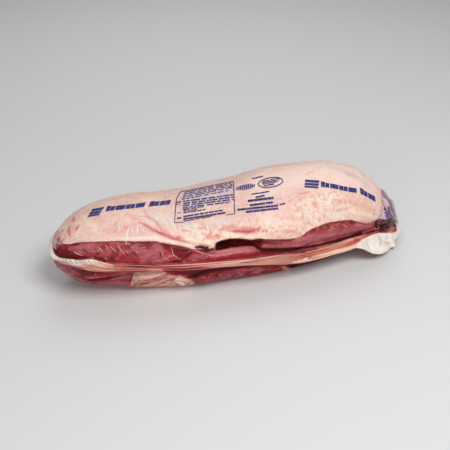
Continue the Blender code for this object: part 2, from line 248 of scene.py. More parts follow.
# Fields where the film is gathered over the thick end, on the slab and on the fin
END_FIELDS = (
    ("blush", 0.7, 2.4, 0, 354, 216, 364, 216, 374, 217, 374, 221, 364, 222, 356, 219.6),
    ("bloom", 0.65, 2, 0, 356, 221.6, 364, 222, 374, 220.6, 375.6, 224.6, 366, 227, 357, 225),
    ("orchid", 0.85, 1.2, 0, 381.5, 196, 386, 198, 391, 202, 394, 208, 398, 214, 398, 222, 388, 222,
     380, 221, 379, 217, 382, 208, 382.4, 200),
    ("thistle", 0.9, 1.2, 0, 380.4, 190, 382.4, 188, 386, 192.6, 389, 198, 388, 199.8, 385, 198.6,
     382.4, 196.6, 380.8, 193),
    ("ash", 0.8, 1, 0, 387, 201, 391.8, 199, 396, 206, 398, 214, 400, 226, 396, 228, 393, 224,
     392.6, 214, 391, 207),
    ("indigo", 0.6, 1, 0, 385.6, 212, 387.4, 210.4, 391.4, 211, 392, 214, 391.4, 217.6,
     388, 219.4, 385.4, 217.4),
    ("maroon", 0.85, 0.6, 0, 384, 207.4, 385.2, 207.4, 386.2, 210, 384.8, 211, 383.8, 209.4),
    ("maroon", 0.55, 0.8, 0, 387.4, 207, 389.6, 207.4, 391.6, 209.6, 390, 210.8, 387.6, 209.6),
    ("maroon", 0.9, 0.8, -0.3, 374.4, 224, 376, 219.6, 382, 219, 388, 221, 396, 219.4, 396, 226,
     392, 226.6, 388, 227.6, 388.6, 232, 380.4, 232.4, 379.6, 229.6, 375.4, 227),
    ("mauve", 0.85, 0.7, 0.1, 378.2, 221.2, 381.4, 220.8, 382.2, 223.4, 380.2, 225, 378, 223.6),
    # Painted shade deep in the gathered film
    ("painted_shadow", 0.95, 0.8, -0.3, 380.6, 224.6, 384, 223.6, 388, 226, 391.6, 227.8, 388.6, 229.2,
     384.6, 231.4, 380.4, 231.4, 380.2, 228),
    ("brick", 0.9, 0.8, 0, 385.6, 230.6, 389.4, 228.6, 393, 227.4, 396, 227.6, 396.6, 230,
     395.6, 232, 386, 232.6),
    ("salmon", 0.8, 0.7, 0.1, 374, 228.8, 378, 229.4, 384, 231, 392, 230.8, 392, 232, 380, 232.2,
     374.4, 231.4),
    ("maroon", 0.95, 0.5, 0, 394.6, 229.2, 396.2, 229.2, 396.4, 230.8, 394.8, 230.8),
    ("rim", 0.85, 0.8, 0, 395.4, 222, 397.4, 224, 403, 228, 404, 236, 397, 236, 397, 229),
)
# Where the fat is knobbly: strength, softness of the edge in pixels, then the outline
UPPER_KNOBS = (
    (1, 4, 176, 238, 182, 227, 198, 224, 214, 228, 230, 223, 262, 224, 300, 227, 304, 232,
     296, 239, 276, 240, 250, 240, 236, 239, 222, 241, 213, 249, 196, 247, 186, 246),
    (0.8, 6, 292, 204, 312, 192, 338, 191, 356, 203, 356, 216, 332, 222, 312, 230, 298, 226),
    (0.65, 6, 290, 172, 318, 166, 340, 172, 334, 182, 306, 182),
    (0.35, 6, 356, 198, 374, 202, 376, 214, 360, 218, 354, 210),
)
LOWER_KNOBS = (
    (1, 1.2, 134, 273, 142, 272, 154, 270, 163, 269.6, 168, 273.6, 178, 275.4, 184, 277.4,
     190, 280, 195, 283.4, 186, 287, 170, 290, 128, 290, 130.4, 284, 131.8, 279),
)
# Fields on the lower slab and on the fin
LOWER_FIELDS = (
    ("carmine", 0.6, 2, 0, 50, 262, 100, 268, 132, 270, 132, 288, 90, 286, 66, 280, 50, 270),
    ("deep", 0.8, 1, 0, 48, 244, 54, 246, 60, 252, 68, 254, 78, 256, 78, 262, 66, 261.4,
     56, 260, 50, 256),
    ("plum", 0.72, 1.6, 0.1, 50, 260, 60, 262, 68, 264, 80, 267, 85, 272, 82, 275.4, 74, 274,
     73, 280, 60, 274),
    ("oxblood", 0.7, 1.4, 0, 80, 268, 90, 269.6, 100, 270, 98, 273.6, 94, 275, 88, 276.2,
     82, 275.6),
    ("carmine", 0.85, 0.8, 0.1, 93, 276.6, 98, 273.6, 108, 272.8, 133, 272.8, 128, 274.6, 116, 275.2,
     108, 276.2, 96, 277.6),
    # Painted shadow under the fin
    ("oxblood", 0.85, 0.7, -0.1, 94, 270, 134, 270, 134, 272.8, 118, 273, 104, 272.8, 96, 273.6),
    # Painted shade in a crease of the lower slab
    ("deep", 0.9, 0.6, -0.6, 86, 280.8, 92, 278.8, 103, 277.8, 112, 276.6, 121, 275.4, 112, 279,
     104, 280.3, 94, 281.4),
    ("prune", 0.85, 1.2, 0, 110, 280, 124, 276.4, 133, 274.8, 132, 280, 124, 281.4, 112, 281.6),
    ("mauve", 0.6, 1.4, 0, 98, 282, 112, 281.8, 124, 281.4, 131, 282, 130, 287, 100, 287),
    ("salmon", 0.42, 0.6, 0.7, 134, 273, 142, 272, 154, 270, 163, 269.6, 168, 273.6, 178, 275.4,
     184, 277.4, 190, 280, 195, 283.4, 186, 287, 170, 290, 128, 290, 130.4, 284, 131.8, 279),
    # Painted shade along the fat lump's top, under the fin, and along its bottom
    ("umber", 0.6, 1, 0, 134, 273, 142, 271, 154, 269.6, 163, 269.4, 164, 272, 152, 274,
     142, 274.4, 136, 276),
    ("umber", 0.6, 1, 0, 133, 281, 146, 283, 156, 283, 150, 286, 140, 286.4, 132, 287, 130, 284),
    # Painted highlights across the fat lump's middle
    ("painted_sheen", 0.75, 1, 0.2, 140, 275.4, 150, 275.2, 160, 273.4, 158, 276, 150, 278, 140, 278.6),
    ("painted_sheen", 0.75, 1, 0.3, 176, 279.4, 184, 279.6, 188, 282, 182, 284, 176, 283),
    # Painted shadow under the fin
    ("oxblood", 0.9, 0.9, -0.4, 163, 269, 186, 269, 200, 269, 212, 268.4, 222, 266.4, 240, 265.4,
     264, 265, 284, 264, 283, 267, 262, 267.6, 240, 268.4, 226, 270.4, 212, 273, 203, 276, 196, 278.4,
     188, 278, 192, 275.6, 184, 275, 172, 274.6, 167, 272.4),
    ("painted_shadow", 0.98, 0.8, -0.4, 187, 278, 193, 275.2, 200, 272.2, 210, 269.6, 218, 267, 232, 266.6,
     232, 268.6, 220, 271.4, 212, 272.8, 203, 275.8, 196, 278),
    ("carmine", 0.8, 1.4, 0, 192, 280, 206, 276, 218, 273, 232, 270.6, 240, 269, 226, 275,
     212, 280, 198, 284),
    ("prune", 0.6, 1.8, 0, 204, 283, 218, 277, 232, 272.6, 246, 271, 246, 280, 226, 284, 206, 286),
    ("carmine", 0.7, 1.2, 0, 246, 268.4, 262, 267.4, 284, 266, 284, 272, 262, 277, 246, 279),
    ("brick", 0.6, 1, 0.1, 250, 268, 262, 266.8, 266, 268, 262, 271.4, 252, 273),
    # Painted shade under a small fold of film
    ("painted_shadow", 0.97, 0.5, -0.6, 284, 262, 298, 261, 297, 267, 291, 268, 287, 266.6),
    ("rose", 0.75, 0.6, 0.4, 282.6, 266, 286.6, 268, 294, 269, 301, 265.6, 300, 269, 284, 271.6),
    ("oxblood", 0.75, 1.2, 0, 298, 262, 326, 257, 352, 248, 360, 250, 356, 256, 326, 264, 298, 270),
)
FIN_FIELDS = (
    ("bone", 0.95, 0.9, 0.1, 40, 226, 62, 226, 62, 250, 76, 254, 92, 252, 101, 255, 104, 262,
     96, 263.8, 84, 264.6, 74, 264.8, 64, 261.6, 56, 260, 50, 258, 42, 250),
    ("ivory", 0.8, 1.2, 0.2, 40, 230, 52, 230, 50, 244, 51.6, 252, 58, 257, 60, 259, 50, 256, 42, 248),
    ("ivory", 0.75, 1, 0.2, 82, 256, 92, 256, 98, 257.6, 100, 261, 90, 261.6, 82, 260.6),
    ("prune", 0.9, 0.8, 0, 50, 260.4, 62, 262.4, 72, 265.4, 82, 268, 86, 274, 70, 274, 54, 268),
    ("tawny", 0.92, 0.9, 0, 79, 266, 90, 265.2, 100, 266.2, 110, 267.4, 116, 269, 106, 269.4,
     96, 270, 86, 269.4),
    ("peach", 0.66, 0.8, 0.1, 94, 263, 104, 262, 114, 264.6, 124, 265.4, 136, 266.6, 136, 268.4,
     120, 268.8, 108, 267.4, 98, 266),
    ("brick", 0.7, 1.2, 0, 114, 264, 136, 266, 150, 268, 136, 270, 114, 268.6),
    ("brick", 0.95, 0.7, 0, 110, 269.2, 124, 269.2, 150, 267.4, 160, 267.6, 166, 270, 150, 271.6,
     124, 271.8, 110, 271.4),
    ("salmon", 0.6, 0.7, 0.1, 130, 269.8, 142, 269.4, 152, 268.2, 166, 268, 168, 270.6, 150, 271.2,
     134, 270.9),
    # Painted shadow under the fin's edge
    ("oxblood", 0.95, 0.6, -0.2, 82, 270.6, 98, 270.9, 112, 272, 134, 272, 150, 272, 166, 271,
     166, 277, 82, 277),
    ("salmon", 0.88, 0.7, 0.1, 152, 266, 160, 265.4, 184, 263.6, 216, 262.4, 216, 266, 200, 266,
     176, 266.6, 160, 268),
    ("carmine", 0.85, 0.7, -0.1, 166, 268.2, 184, 267.2, 206, 266.8, 216, 267.4, 204, 270.6,
     184, 270.8, 164, 270.6),
    # Painted shadow under the fin's edge
    ("oxblood", 0.9, 0.6, -0.2, 164, 270.6, 184, 270.6, 204, 270.4, 220, 267.6, 250, 266.4,
     284, 265.4, 284, 272, 164, 278),
    ("sienna", 0.95, 0.8, 0.1, 208, 262.6, 222, 261.2, 240, 260, 262, 256.6, 280, 254.8, 300, 254,
     302, 263.4, 282, 265, 256, 265.6, 236, 266, 220, 266.8, 208, 268),
    ("umber", 0.8, 0.9, 0, 272, 256.6, 290, 255.8, 305, 254.6, 305, 259.6, 288, 261.8, 272, 261.6),
    ("brick", 0.6, 0.9, 0, 290, 254.6, 306, 253.4, 318, 252.6, 312, 257, 300, 258.4, 288, 257.4),
    ("suet", 0.7, 0.8, 0.1, 222, 263.2, 240, 260.4, 252, 260, 256, 262.8, 240, 263.6, 224, 265.2),
    # Painted shade along the groove above the fin, on the fin's root
    ("painted_shadow", 0.98, 0.7, -0.3, 254, 240, 280, 240, 304, 240, 326, 238, 345, 232, 360, 228,
     372, 228, 372, 230.6, 360, 235.6, 345, 239.6, 330, 243.8, 314, 247.4, 300, 249.4, 280, 251.4,
     266, 252, 254, 249),
    # Painted shade along the root of the fin's shrunk corner
    ("oxblood", 0.95, 0.7, -0.2, 352, 236, 364, 231.4, 376, 229, 390, 229, 384, 232.4, 374, 234.8,
     364, 238.4, 354, 240),
    ("brick", 0.7, 0.6, 0.1, 358, 237.6, 366, 234.6, 374, 232.8, 378, 232.6, 372, 235.2, 364, 238.2),
    ("carmine", 0.9, 0.7, -0.1, 206, 257, 244, 254, 262, 252.4, 284, 251.2, 304, 249.8, 318, 248,
     318, 251, 304, 253.6, 284, 254.4, 262, 256, 246, 259, 226, 260.8, 206, 262.4),
    ("oxblood", 0.8, 0.7, -0.1, 252, 251, 280, 250.8, 300, 249.6, 296, 251.6, 284, 253.6, 262, 255.4,
     250, 256.4),
    ("salmon", 0.85, 0.7, 0.1, 308, 251.8, 320, 249.6, 334, 246.4, 348, 242, 360, 237.6, 366, 236,
     360, 240, 348, 244.4, 334, 248.4, 318, 252.6),
    ("rust", 0.88, 0.8, -0.1, 314, 252.6, 332, 248.6, 346, 244.2, 357, 239.8, 366, 236.4, 372, 234.4,
     366, 238.4, 358, 242.8, 346, 247.6, 332, 251.8, 316, 255.2),
    ("peach", 0.8, 0.7, 0.1, 298, 259.4, 318, 255.4, 334, 251, 348, 247, 360, 242.8, 360, 251,
     344, 256, 328, 261, 310, 264.4, 298, 265.6),
    ("suet", 0.6, 2, 0.1, 334, 251, 348, 247, 360, 242.8, 360, 251, 344, 256, 334, 258),
    ("brick", 0.55, 0.8, -0.1, 300, 256.4, 316, 253.2, 332, 250, 330, 252.6, 316, 256, 302, 258.8),
    ("chalk", 1, 0.7, 0, 358, 243, 361, 240, 368, 236.6, 376, 233.6, 382, 232.4, 392, 231.8,
     396, 229.8, 404, 229, 404, 262, 356, 262, 356, 247),
    # Painted shade and painted highlights on the facets of the fin's shrunk corner and along its lower
    # edge
    ("fold_shade", 0.45, 1.6, -0.2, 374, 236, 379, 234.6, 381.4, 238, 380, 243, 377, 244.6, 375.6, 240),
    ("fold_shade", 0.35, 1.8, -0.2, 362, 240, 368, 239, 371, 243, 367, 247, 362, 246),
    ("fold_shade", 0.3, 1.6, -0.2, 386, 240, 392, 238, 393, 243, 389, 247, 385, 246),
    ("painted_highlight", 0.35, 1.6, 0.2, 370, 246, 376, 244.6, 384, 246, 390, 243.6, 388, 248, 380, 251, 372, 250.6),
    ("painted_highlight", 0.4, 1.4, 0.2, 382, 234.6, 390, 234, 394, 235, 388, 238, 383, 238.4),
    ("fold_shade", 0.6, 0.7, 0, 366, 249.4, 372, 252, 378, 252.8, 378, 255, 368, 254, 362, 250),
    # Painted shadow at the foot of the cut side, on the fin's top
    ("painted_shadow", 1, 0.6, -0.3, 98, 248, 110, 248, 150, 248, 186, 248, 186, 262.4, 170, 264.4,
     160, 264.6, 146, 265.2, 122, 264, 112, 263.2, 106, 261.6, 101, 259.2),
)

# Marks painted on the upper slab: colour, strength, half width in pixels, height in
# millimetres, then the places it runs through in the photo, across and down in turn.
FAT_MARKS = (
    ("blush", 0.7, 3.4, 0, 139, 221, 146, 225, 154, 229.6, 163, 233.6, 172, 237),
    ("vein", 0.8, 1.9, -0.3, 139.6, 222.2, 146, 225.4, 152, 229, 158, 232, 165, 235),
    ("vein", 0.95, 1.9, -0.3, 156, 231.2, 162, 233.8, 168, 236.4, 175, 239, 181, 240.8, 188, 243),
    ("blood", 0.7, 1.5, 0, 176, 237.6, 179, 237.4, 182, 238.4),
    ("vein", 0.65, 1.5, -0.3, 143.6, 208.4, 145.4, 212.4, 148, 216.4, 152, 219.6, 156, 222.4, 158, 226),
    ("rose", 0.7, 1.8, -0.2, 155, 221, 158.6, 224.6, 161, 229, 166, 232.4, 173, 235.6),
    ("grey milk", 0.7, 1.7, 0.2, 147, 219, 151, 223, 155, 227),
    # Painted highlight along the fat's rounded lip above its edge
    ("painted_sheen", 0.8, 2, 0.2, 118, 238.4, 132, 238.6, 145, 238, 156, 238.8, 166, 241, 176, 243),
    ("cream", 0.5, 2.4, 0, 166, 241, 176, 242.4, 188, 245, 200, 246.5, 212, 245),
    ("rose", 0.35, 4.5, 0, 104, 230, 114, 231, 124, 231),
    ("rose", 0.35, 3.5, 0, 126, 214, 133, 217, 139, 219),
    ("rose", 0.55, 1.8, 0, 125, 227, 128, 228),
    ("rose", 0.35, 1.2, 0, 131, 228, 132, 236),
    ("rose", 0.35, 1.2, 0, 140, 228, 142, 236),
    ("blood", 0.9, 1.3, 0, 73.6, 217.6, 73.6, 221),
    ("vein", 0.9, 1.6, 0, 70.5, 225, 69, 228.4, 69, 233, 70.6, 236.5),
    ("blood", 0.6, 0.8, 0, 69.6, 227.4, 69, 232),
    ("vein", 0.9, 1.4, 0, 79, 225, 76.8, 228, 74.8, 230.6),
    ("vein", 0.6, 0.9, 0, 63.6, 228.6, 62.6, 232),
    ("vein", 0.55, 1.6, 0, 66, 238, 62, 240.6, 60, 242),
    ("rose", 0.5, 2.4, 0, 66, 229, 70, 232, 74, 226),
    ("rose", 0.45, 3.5, 0, 53, 240, 60, 234, 66, 236),
    ("fleck", 0.5, 0.9, 0, 62, 229.5, 61, 232),
    ("fleck", 0.45, 0.8, 0, 115, 222, 115.6, 225),
    ("fleck", 0.4, 0.8, 0, 74, 213.5, 75, 216),
    ("milk", 0.55, 1.3, 0.2, 118, 224, 119.5, 228, 118.5, 232),
    ("milk", 0.45, 1.5, 0, 82, 227, 78, 233, 74, 238),
    ("cream", 0.5, 3, 0, 86, 208, 92, 205, 98, 203),
    ("cream", 0.5, 4, 0, 84, 216, 90, 222, 96, 228),
    ("clay", 0.7, 0.7, -0.2, 59.4, 238, 57.6, 240.6),
    ("violet", 0.9, 0.9, 0, 57, 243, 56, 245.4, 55, 247.4),
    ("dusk", 0.6, 1.2, 0, 58, 246, 57, 250, 57.6, 253),
    ("grey milk", 0.75, 4.2, 0.2, 150, 213, 158, 217, 166, 223),
    ("grey milk", 0.7, 3.4, 0.2, 166, 215, 172, 222, 176, 230),
    ("fleck", 0.35, 0.6, -0.2, 157, 209.5, 163, 212, 168, 214),
    ("milk", 0.75, 0.8, 0.3, 141, 214, 146, 220, 153, 227),
    ("milk", 0.7, 0.7, 0.3, 146, 212.6, 151, 218, 157, 226),
    ("milk", 0.65, 0.8, 0.3, 168, 217, 172, 222.6, 176, 230),
    ("milk", 0.6, 0.7, 0.2, 160, 214, 163, 220, 168, 227, 173, 235),
    ("fleck", 0.45, 0.9, 0, 177, 224, 177.5, 229),
    ("grey milk", 0.8, 4.5, 0.2, 184, 225, 192, 228, 199, 230),
    ("milk", 0.55, 1.6, 0.3, 196, 232, 197.5, 236),
    ("fleck", 0.5, 0.45, -0.2, 199, 222.5, 202, 224.5, 205.5, 227, 200.5, 229.4),
    ("fleck", 0.4, 0.45, -0.2, 188, 234, 193, 233, 199, 234.4),
    ("milk", 0.45, 0.6, 0.2, 205, 226, 209, 229, 207, 234),
    ("cream", 0.8, 3, 0.3, 186, 238, 194, 241, 202, 242, 210, 243),
    ("tan", 0.55, 2.2, 0, 186, 241, 194, 244, 203, 244.6, 211, 246),
    ("blood", 0.65, 1.1, 0, 206, 235, 208, 238, 209, 240),
    ("blood", 0.8, 1.2, 0, 216, 234, 217.5, 236, 219, 239),
    ("rose", 0.6, 2.6, 0, 203, 240, 208, 236, 214, 239, 219, 234),
    ("rose", 0.55, 2.2, 0, 222, 228, 227, 227, 231, 226),
    ("cream", 0.85, 2.4, 0.4, 222, 235, 228, 234, 234, 235.5, 240, 235.6),
    ("rose", 0.75, 2, 0, 230, 226.5, 233, 226, 236, 230),
    ("blood", 0.85, 1.5, -0.2, 233, 231, 237, 231, 242, 231.4, 249, 231.5, 254, 230.4),
    ("blood", 0.6, 1.1, 0, 253, 229.6, 258, 228, 262, 226.4),
    ("blood", 0.35, 2.6, 0, 238, 229, 247, 230, 256, 229.6),
    ("cream", 0.8, 1.9, 0.4, 241, 235.6, 248, 236.8, 256, 235.4, 264, 235),
    ("milk", 0.55, 0.9, 0.3, 243, 227, 249, 226.4, 256, 226),
    ("rose", 0.55, 1.4, 0, 248.6, 219.5, 250.4, 222.6),
    ("rose", 0.45, 1, 0, 256, 216.5, 257.4, 220, 258.8, 222.5),
    ("grey milk", 0.6, 5, 0.1, 212, 223, 222, 222, 236, 220),
    ("grey milk", 0.5, 3, 0.1, 262, 217, 268, 219, 274, 218),
    ("milk", 0.6, 1.6, 0.2, 275, 228, 280, 229.4, 286, 228.6),
    ("rose", 0.4, 2.2, 0, 276, 232, 284, 231, 294, 231),
    ("tan", 0.45, 1.2, 0, 284, 232, 290, 230.6, 297, 232.6),
    ("cream", 0.6, 3, 0.2, 264, 222, 274, 224, 286, 222, 296, 224),
    ("rose", 0.4, 1.8, 0, 296, 229, 298, 232, 296, 235),
    ("peach", 0.45, 3.4, 0, 266, 236, 278, 236, 290, 235.6),
    ("fleck", 0.4, 0.5, -0.1, 280, 219, 283, 220),
    ("fleck", 0.4, 0.5, -0.1, 291, 200, 292, 201),
    ("peach", 0.5, 2.6, 0, 296, 193, 302, 193.6, 308, 191.4),
    ("blood", 0.35, 0.6, 0, 299, 194.4, 304, 193.4, 311, 190.6),
    ("peach", 0.55, 1.8, 0, 307, 174.5, 312, 172, 315, 171.4),
    ("peach", 0.45, 1.4, 0, 318, 194.6, 322, 194),
    ("milk", 0.75, 1.1, 0.3, 315.6, 194.8, 319, 201, 320.4, 208, 318.6, 218),
    ("milk", 0.7, 1.3, 0.3, 325, 205, 329, 200, 332, 195, 336, 193),
    ("milk", 0.65, 1.2, 0.3, 311, 201, 316, 200, 322, 202, 329, 206, 336, 204.6),
    ("milk", 0.6, 1.1, 0.3, 321, 205, 323, 210, 322.4, 215),
    ("milk", 0.55, 1.3, 0.2, 309, 215, 314, 219, 318, 222),
    ("grey milk", 0.55, 4, 0.1, 302, 205, 305, 213, 308, 221),
    ("grey milk", 0.55, 4, 0.1, 326, 214, 336, 215, 346, 215),
    ("rose", 0.4, 1.6, 0, 301, 210, 302.5, 217, 304, 223),
    ("peach", 0.55, 5, 0, 345, 201, 356, 203, 366, 207, 374, 212),
    ("cream", 0.5, 3, 0, 352, 211, 362, 213, 371, 216),
    ("peach", 0.5, 2, 0, 360, 222, 367, 219.5, 371, 219),
    ("clay", 0.65, 0.55, 0, 346.2, 195, 346.8, 196.6),
    ("clay", 0.55, 0.6, 0, 373.6, 214.4, 374.8, 214),
    ("fleck", 0.5, 0.5, -0.1, 349, 202.5, 351.4, 202.8),
    ("fleck", 0.5, 0.5, -0.1, 355, 204.8, 358, 204),
    ("rose", 0.45, 2, 0, 346, 174, 351, 176),
    ("rose", 0.4, 0.8, -0.2, 363, 178.6, 368, 181.4, 373, 183),
    # Painted sheen along the top outline towards the thick end
    ("lilac", 0.45, 4, 0, 330, 167, 340, 170, 350, 173, 357, 177),
    ("lilac", 0.4, 3, 0, 362, 184, 369, 188, 375, 193),
    ("milk", 0.55, 1.2, 0, 326, 163, 338, 165, 350, 169, 358, 172),
    ("lilac", 0.4, 2.4, 0, 205, 184, 215, 181.6, 226, 178.6),
    ("peach", 0.55, 1, 0, 213, 183.4, 221, 181, 230, 178),
)

# Marks on the upper slab's cut side
LEAN_MARKS = (
    ("garnet", 0.5, 2.4, -0.2, 60, 251, 66, 252, 74, 255, 86, 257.6),
    ("blood", 0.3, 1.6, 0, 59, 245.6, 66, 246.4, 72, 247),
    ("deep", 0.65, 1.3, -0.2, 58.4, 250, 59, 254, 62, 256),
    ("scarlet", 0.5, 0.8, 0, 57, 248, 57.4, 251),
    ("veil", 0.5, 3.4, 0, 74, 246, 84, 246, 94, 247.4),
    ("veil", 0.45, 2.6, 0, 80, 251, 90, 252.6),
    ("wine", 0.65, 1.1, -0.2, 70.5, 244.8, 75, 244.4, 80, 244),
    ("wine", 0.6, 1, -0.2, 82, 248.8, 85.4, 251, 88, 253.6),
    ("wine", 0.55, 1.2, -0.2, 96, 250, 97.6, 253.4),
    ("garnet", 0.45, 1.5, -0.3, 102.6, 247.8, 105.4, 250.4),
    ("garnet", 0.45, 1.2, -0.3, 112, 250, 114, 254),
    ("wine", 0.6, 1.6, -0.2, 117, 250, 118, 254),
    ("garnet", 0.4, 2, -0.3, 126, 246, 131, 248.4),
    ("wine", 0.5, 2, -0.2, 133, 253, 137, 256),
    ("wine", 0.4, 2.2, -0.2, 141, 243.4, 147, 244.4, 152, 245),
    ("scarlet", 0.7, 2, 0.2, 117.6, 258, 120, 260.4, 124, 261.6),
    ("deep", 0.4, 1.8, -0.4, 111, 257.4, 114.6, 261),
    ("scarlet", 0.25, 3.4, 0, 126, 260, 138, 261.6, 150, 262),
    ("veil", 0.55, 3, 0.2, 137, 249.4, 144, 252.6, 152, 254),
    ("veil", 0.55, 2.2, 0.2, 151, 247, 158, 246.6),
    ("veil", 0.4, 3, 0, 101, 254, 108, 256),
    ("wine", 0.6, 1.8, -0.2, 160, 252, 162, 257),
    ("garnet", 0.55, 2.4, -0.3, 163, 244.8, 168, 247.6),
    ("wine", 0.65, 3, -0.2, 175, 250, 180, 252.4, 184, 253.6),
    ("scarlet", 0.45, 2.2, 0, 166, 253, 170, 251),
    ("rose", 0.7, 0.8, 0.3, 167, 257.6, 171, 256, 175.6, 255.8),
    ("scarlet", 0.6, 1.4, 0.1, 168, 259.6, 173, 258, 178, 258.4),
    ("deep", 0.85, 1, -0.5, 194, 250.6, 189, 254, 184.6, 257.6, 181, 260),
    ("deep", 0.6, 1.6, -0.2, 183, 250, 188, 250.8),
    ("veil", 0.6, 2.6, 0.2, 190, 258, 198, 257, 206, 258),
    ("scarlet", 0.75, 1, 0, 189, 248.6, 195, 251.6, 201, 254.8),
    ("deep", 0.6, 1.4, -0.2, 172, 261.4, 180, 261.4),
    ("glint", 0.85, 0.8, 0.5, 183, 245, 189.5, 247, 196, 250.4, 203, 253.2, 209, 255, 214, 255),
    # Painted shadow along the foot of the cut side, above the fin
    ("deep", 0.85, 0.9, -0.8, 93, 256.8, 99, 258.6, 104, 260.8, 110, 262.8, 119, 264.3),
    ("painted_shadow", 0.9, 0.9, -0.5, 119, 264.3, 135, 265, 150, 265, 162, 264, 178, 263.2),
    ("deep", 0.8, 0.9, -0.4, 178, 263.2, 190, 262.8, 202, 262, 214, 261.8),
    ("deep", 0.5, 1.8, -0.2, 62, 257, 75, 257.6, 88, 257),
    # Painted shade in the pocket and in the hollow under the fat's edge
    ("painted_shadow", 0.97, 1.2, -1, 195, 247.2, 200, 247.2, 204, 247.8, 208, 248),
    ("clay", 0.5, 0.7, 0, 196, 249.4, 203, 250.4, 209, 249.8),
    ("painted_shadow", 0.95, 2.2, -0.5, 218, 246, 223, 244, 229, 243.4),
    ("painted_shadow", 0.9, 1.7, -0.3, 228, 245, 236, 244.8, 244, 245, 250, 245),
    ("deep", 0.9, 2, 0, 226, 241.6, 236, 240.6, 245, 242, 252, 242.6),
    # Painted shadow along the groove above the fin
    ("painted_shadow", 0.85, 1, -0.3, 250, 245.4, 256, 246, 261, 248.6, 268, 250),
    ("painted_shadow", 0.75, 1.1, -0.3, 268, 250, 280, 250.4, 292, 250),
    ("carmine", 0.9, 1.1, 0, 250, 240, 262, 239.8, 276, 240.2, 290, 240.2, 298, 238.6),
    ("veil", 0.7, 2.6, 0.2, 262, 243.4, 275, 244.4, 288, 244, 298, 242.6),
    ("deep", 0.6, 1.6, 0, 253, 243.6, 258, 245),
    ("peach", 0.45, 1.8, 0.2, 211, 251.6, 221, 250.6, 233, 249.4, 246, 248),
    ("veil", 0.6, 1.8, 0.2, 208, 253.8, 224, 252.6, 240, 250.6, 254, 249.6),
    ("glint", 0.65, 0.6, 0.2, 211, 256.8, 224, 254.6, 236, 252.4, 247, 251.2, 254, 251),
    ("scarlet", 0.55, 1.5, 0, 206, 258.4, 220, 257.8, 234, 256, 247, 254),
    ("scarlet", 0.7, 1.2, 0, 212, 260.8, 228, 259.8, 242, 257.6, 256, 254.6),
    ("deep", 0.6, 1, -0.2, 254, 253.6, 266, 252.6, 278, 252),
    ("scarlet", 0.6, 1, 0, 258, 256, 270, 254.4, 284, 253),
    # Painted shadow along the groove above the fin
    ("painted_shadow", 0.85, 1, -0.6, 292, 249.6, 302, 248.6, 313, 247, 325, 244.3),
    ("painted_shadow", 0.85, 1, -0.6, 325, 244.3, 338, 241, 349, 237, 358, 233.4, 365, 232),
    ("veil", 0.6, 3.6, 0, 304, 239, 316, 236.6, 330, 233.4, 343, 230),
    ("plum", 0.35, 3, 0, 300, 243, 315, 240.6, 328, 238),
    ("rose", 0.5, 0.6, 0.2, 313, 240.4, 318, 238, 323, 235.8),
    ("scarlet", 0.45, 1.6, 0, 306, 234, 312, 230.6, 320, 229),
    ("wine", 0.75, 0.8, -0.3, 311, 229.6, 314, 229, 315.4, 231),
    ("wine", 0.75, 0.8, -0.3, 318, 227.4, 321, 227.6, 322, 229.4),
    ("wine", 0.75, 0.9, -0.3, 325, 225, 328, 225.4, 329.6, 227.6),
    ("wine", 0.75, 0.8, -0.3, 333, 223, 336, 222.6, 341, 222),
    ("wine", 0.7, 0.8, -0.3, 342, 221.4, 344, 223.6),
    ("wine", 0.6, 1.4, 0, 349, 222, 354, 223),
    ("peach", 0.6, 0.9, 0.2, 331, 226.6, 334, 228.4),
    ("peach", 0.55, 0.9, 0.2, 343.6, 224.4, 346.4, 227),
    ("peach", 0.5, 0.9, 0.2, 338, 223.6, 336.6, 226),
    ("rose", 0.45, 1.6, 0.1, 356, 224.6, 362, 225.6),
    ("veil", 0.6, 2, 0, 352, 229, 362, 228, 372, 226),
    ("garnet", 0.65, 1.1, 0, 358, 231, 364, 230.4),
    ("orange", 0.45, 1, 0, 368, 229.6, 376, 229, 380, 229.6),
)

# Marks where the film is gathered over the thick end
END_MARKS = (
    ("deep", 0.75, 0.7, 0, 381.6, 197, 382.2, 201, 382.4, 205),
    ("maroon", 0.55, 0.6, 0, 382, 206, 381.4, 211, 380.2, 215, 378.4, 218, 376.4, 221),
    ("maroon", 0.6, 0.6, 0, 383, 203.6, 384, 206, 385, 209),
    # A painted highlight on a fold of the gathered film
    ("painted_highlight", 0.65, 0.8, 0.3, 383, 198.6, 386.6, 201.4, 390, 205.4, 392.4, 210),
    ("blush", 0.8, 1.6, 0, 383, 213, 382.6, 217),
    ("rose", 0.6, 0.8, 0, 388.6, 205.4, 391, 208.6),
    ("orchid", 0.75, 0.7, 0.3, 386, 220.6, 388.6, 223.6, 391, 226.2),
    ("mauve", 0.7, 0.7, 0.2, 381, 222, 384, 225, 387, 228.4),
    ("orchid", 0.6, 0.5, 0.2, 381.6, 219, 383, 222),
    # Painted shade in a fold of the gathered film
    ("painted_shadow", 0.85, 0.8, -0.4, 374, 224.6, 377, 227, 379.6, 229.4),
    ("orange", 0.6, 1, 0, 374, 229, 377, 230.4),
)

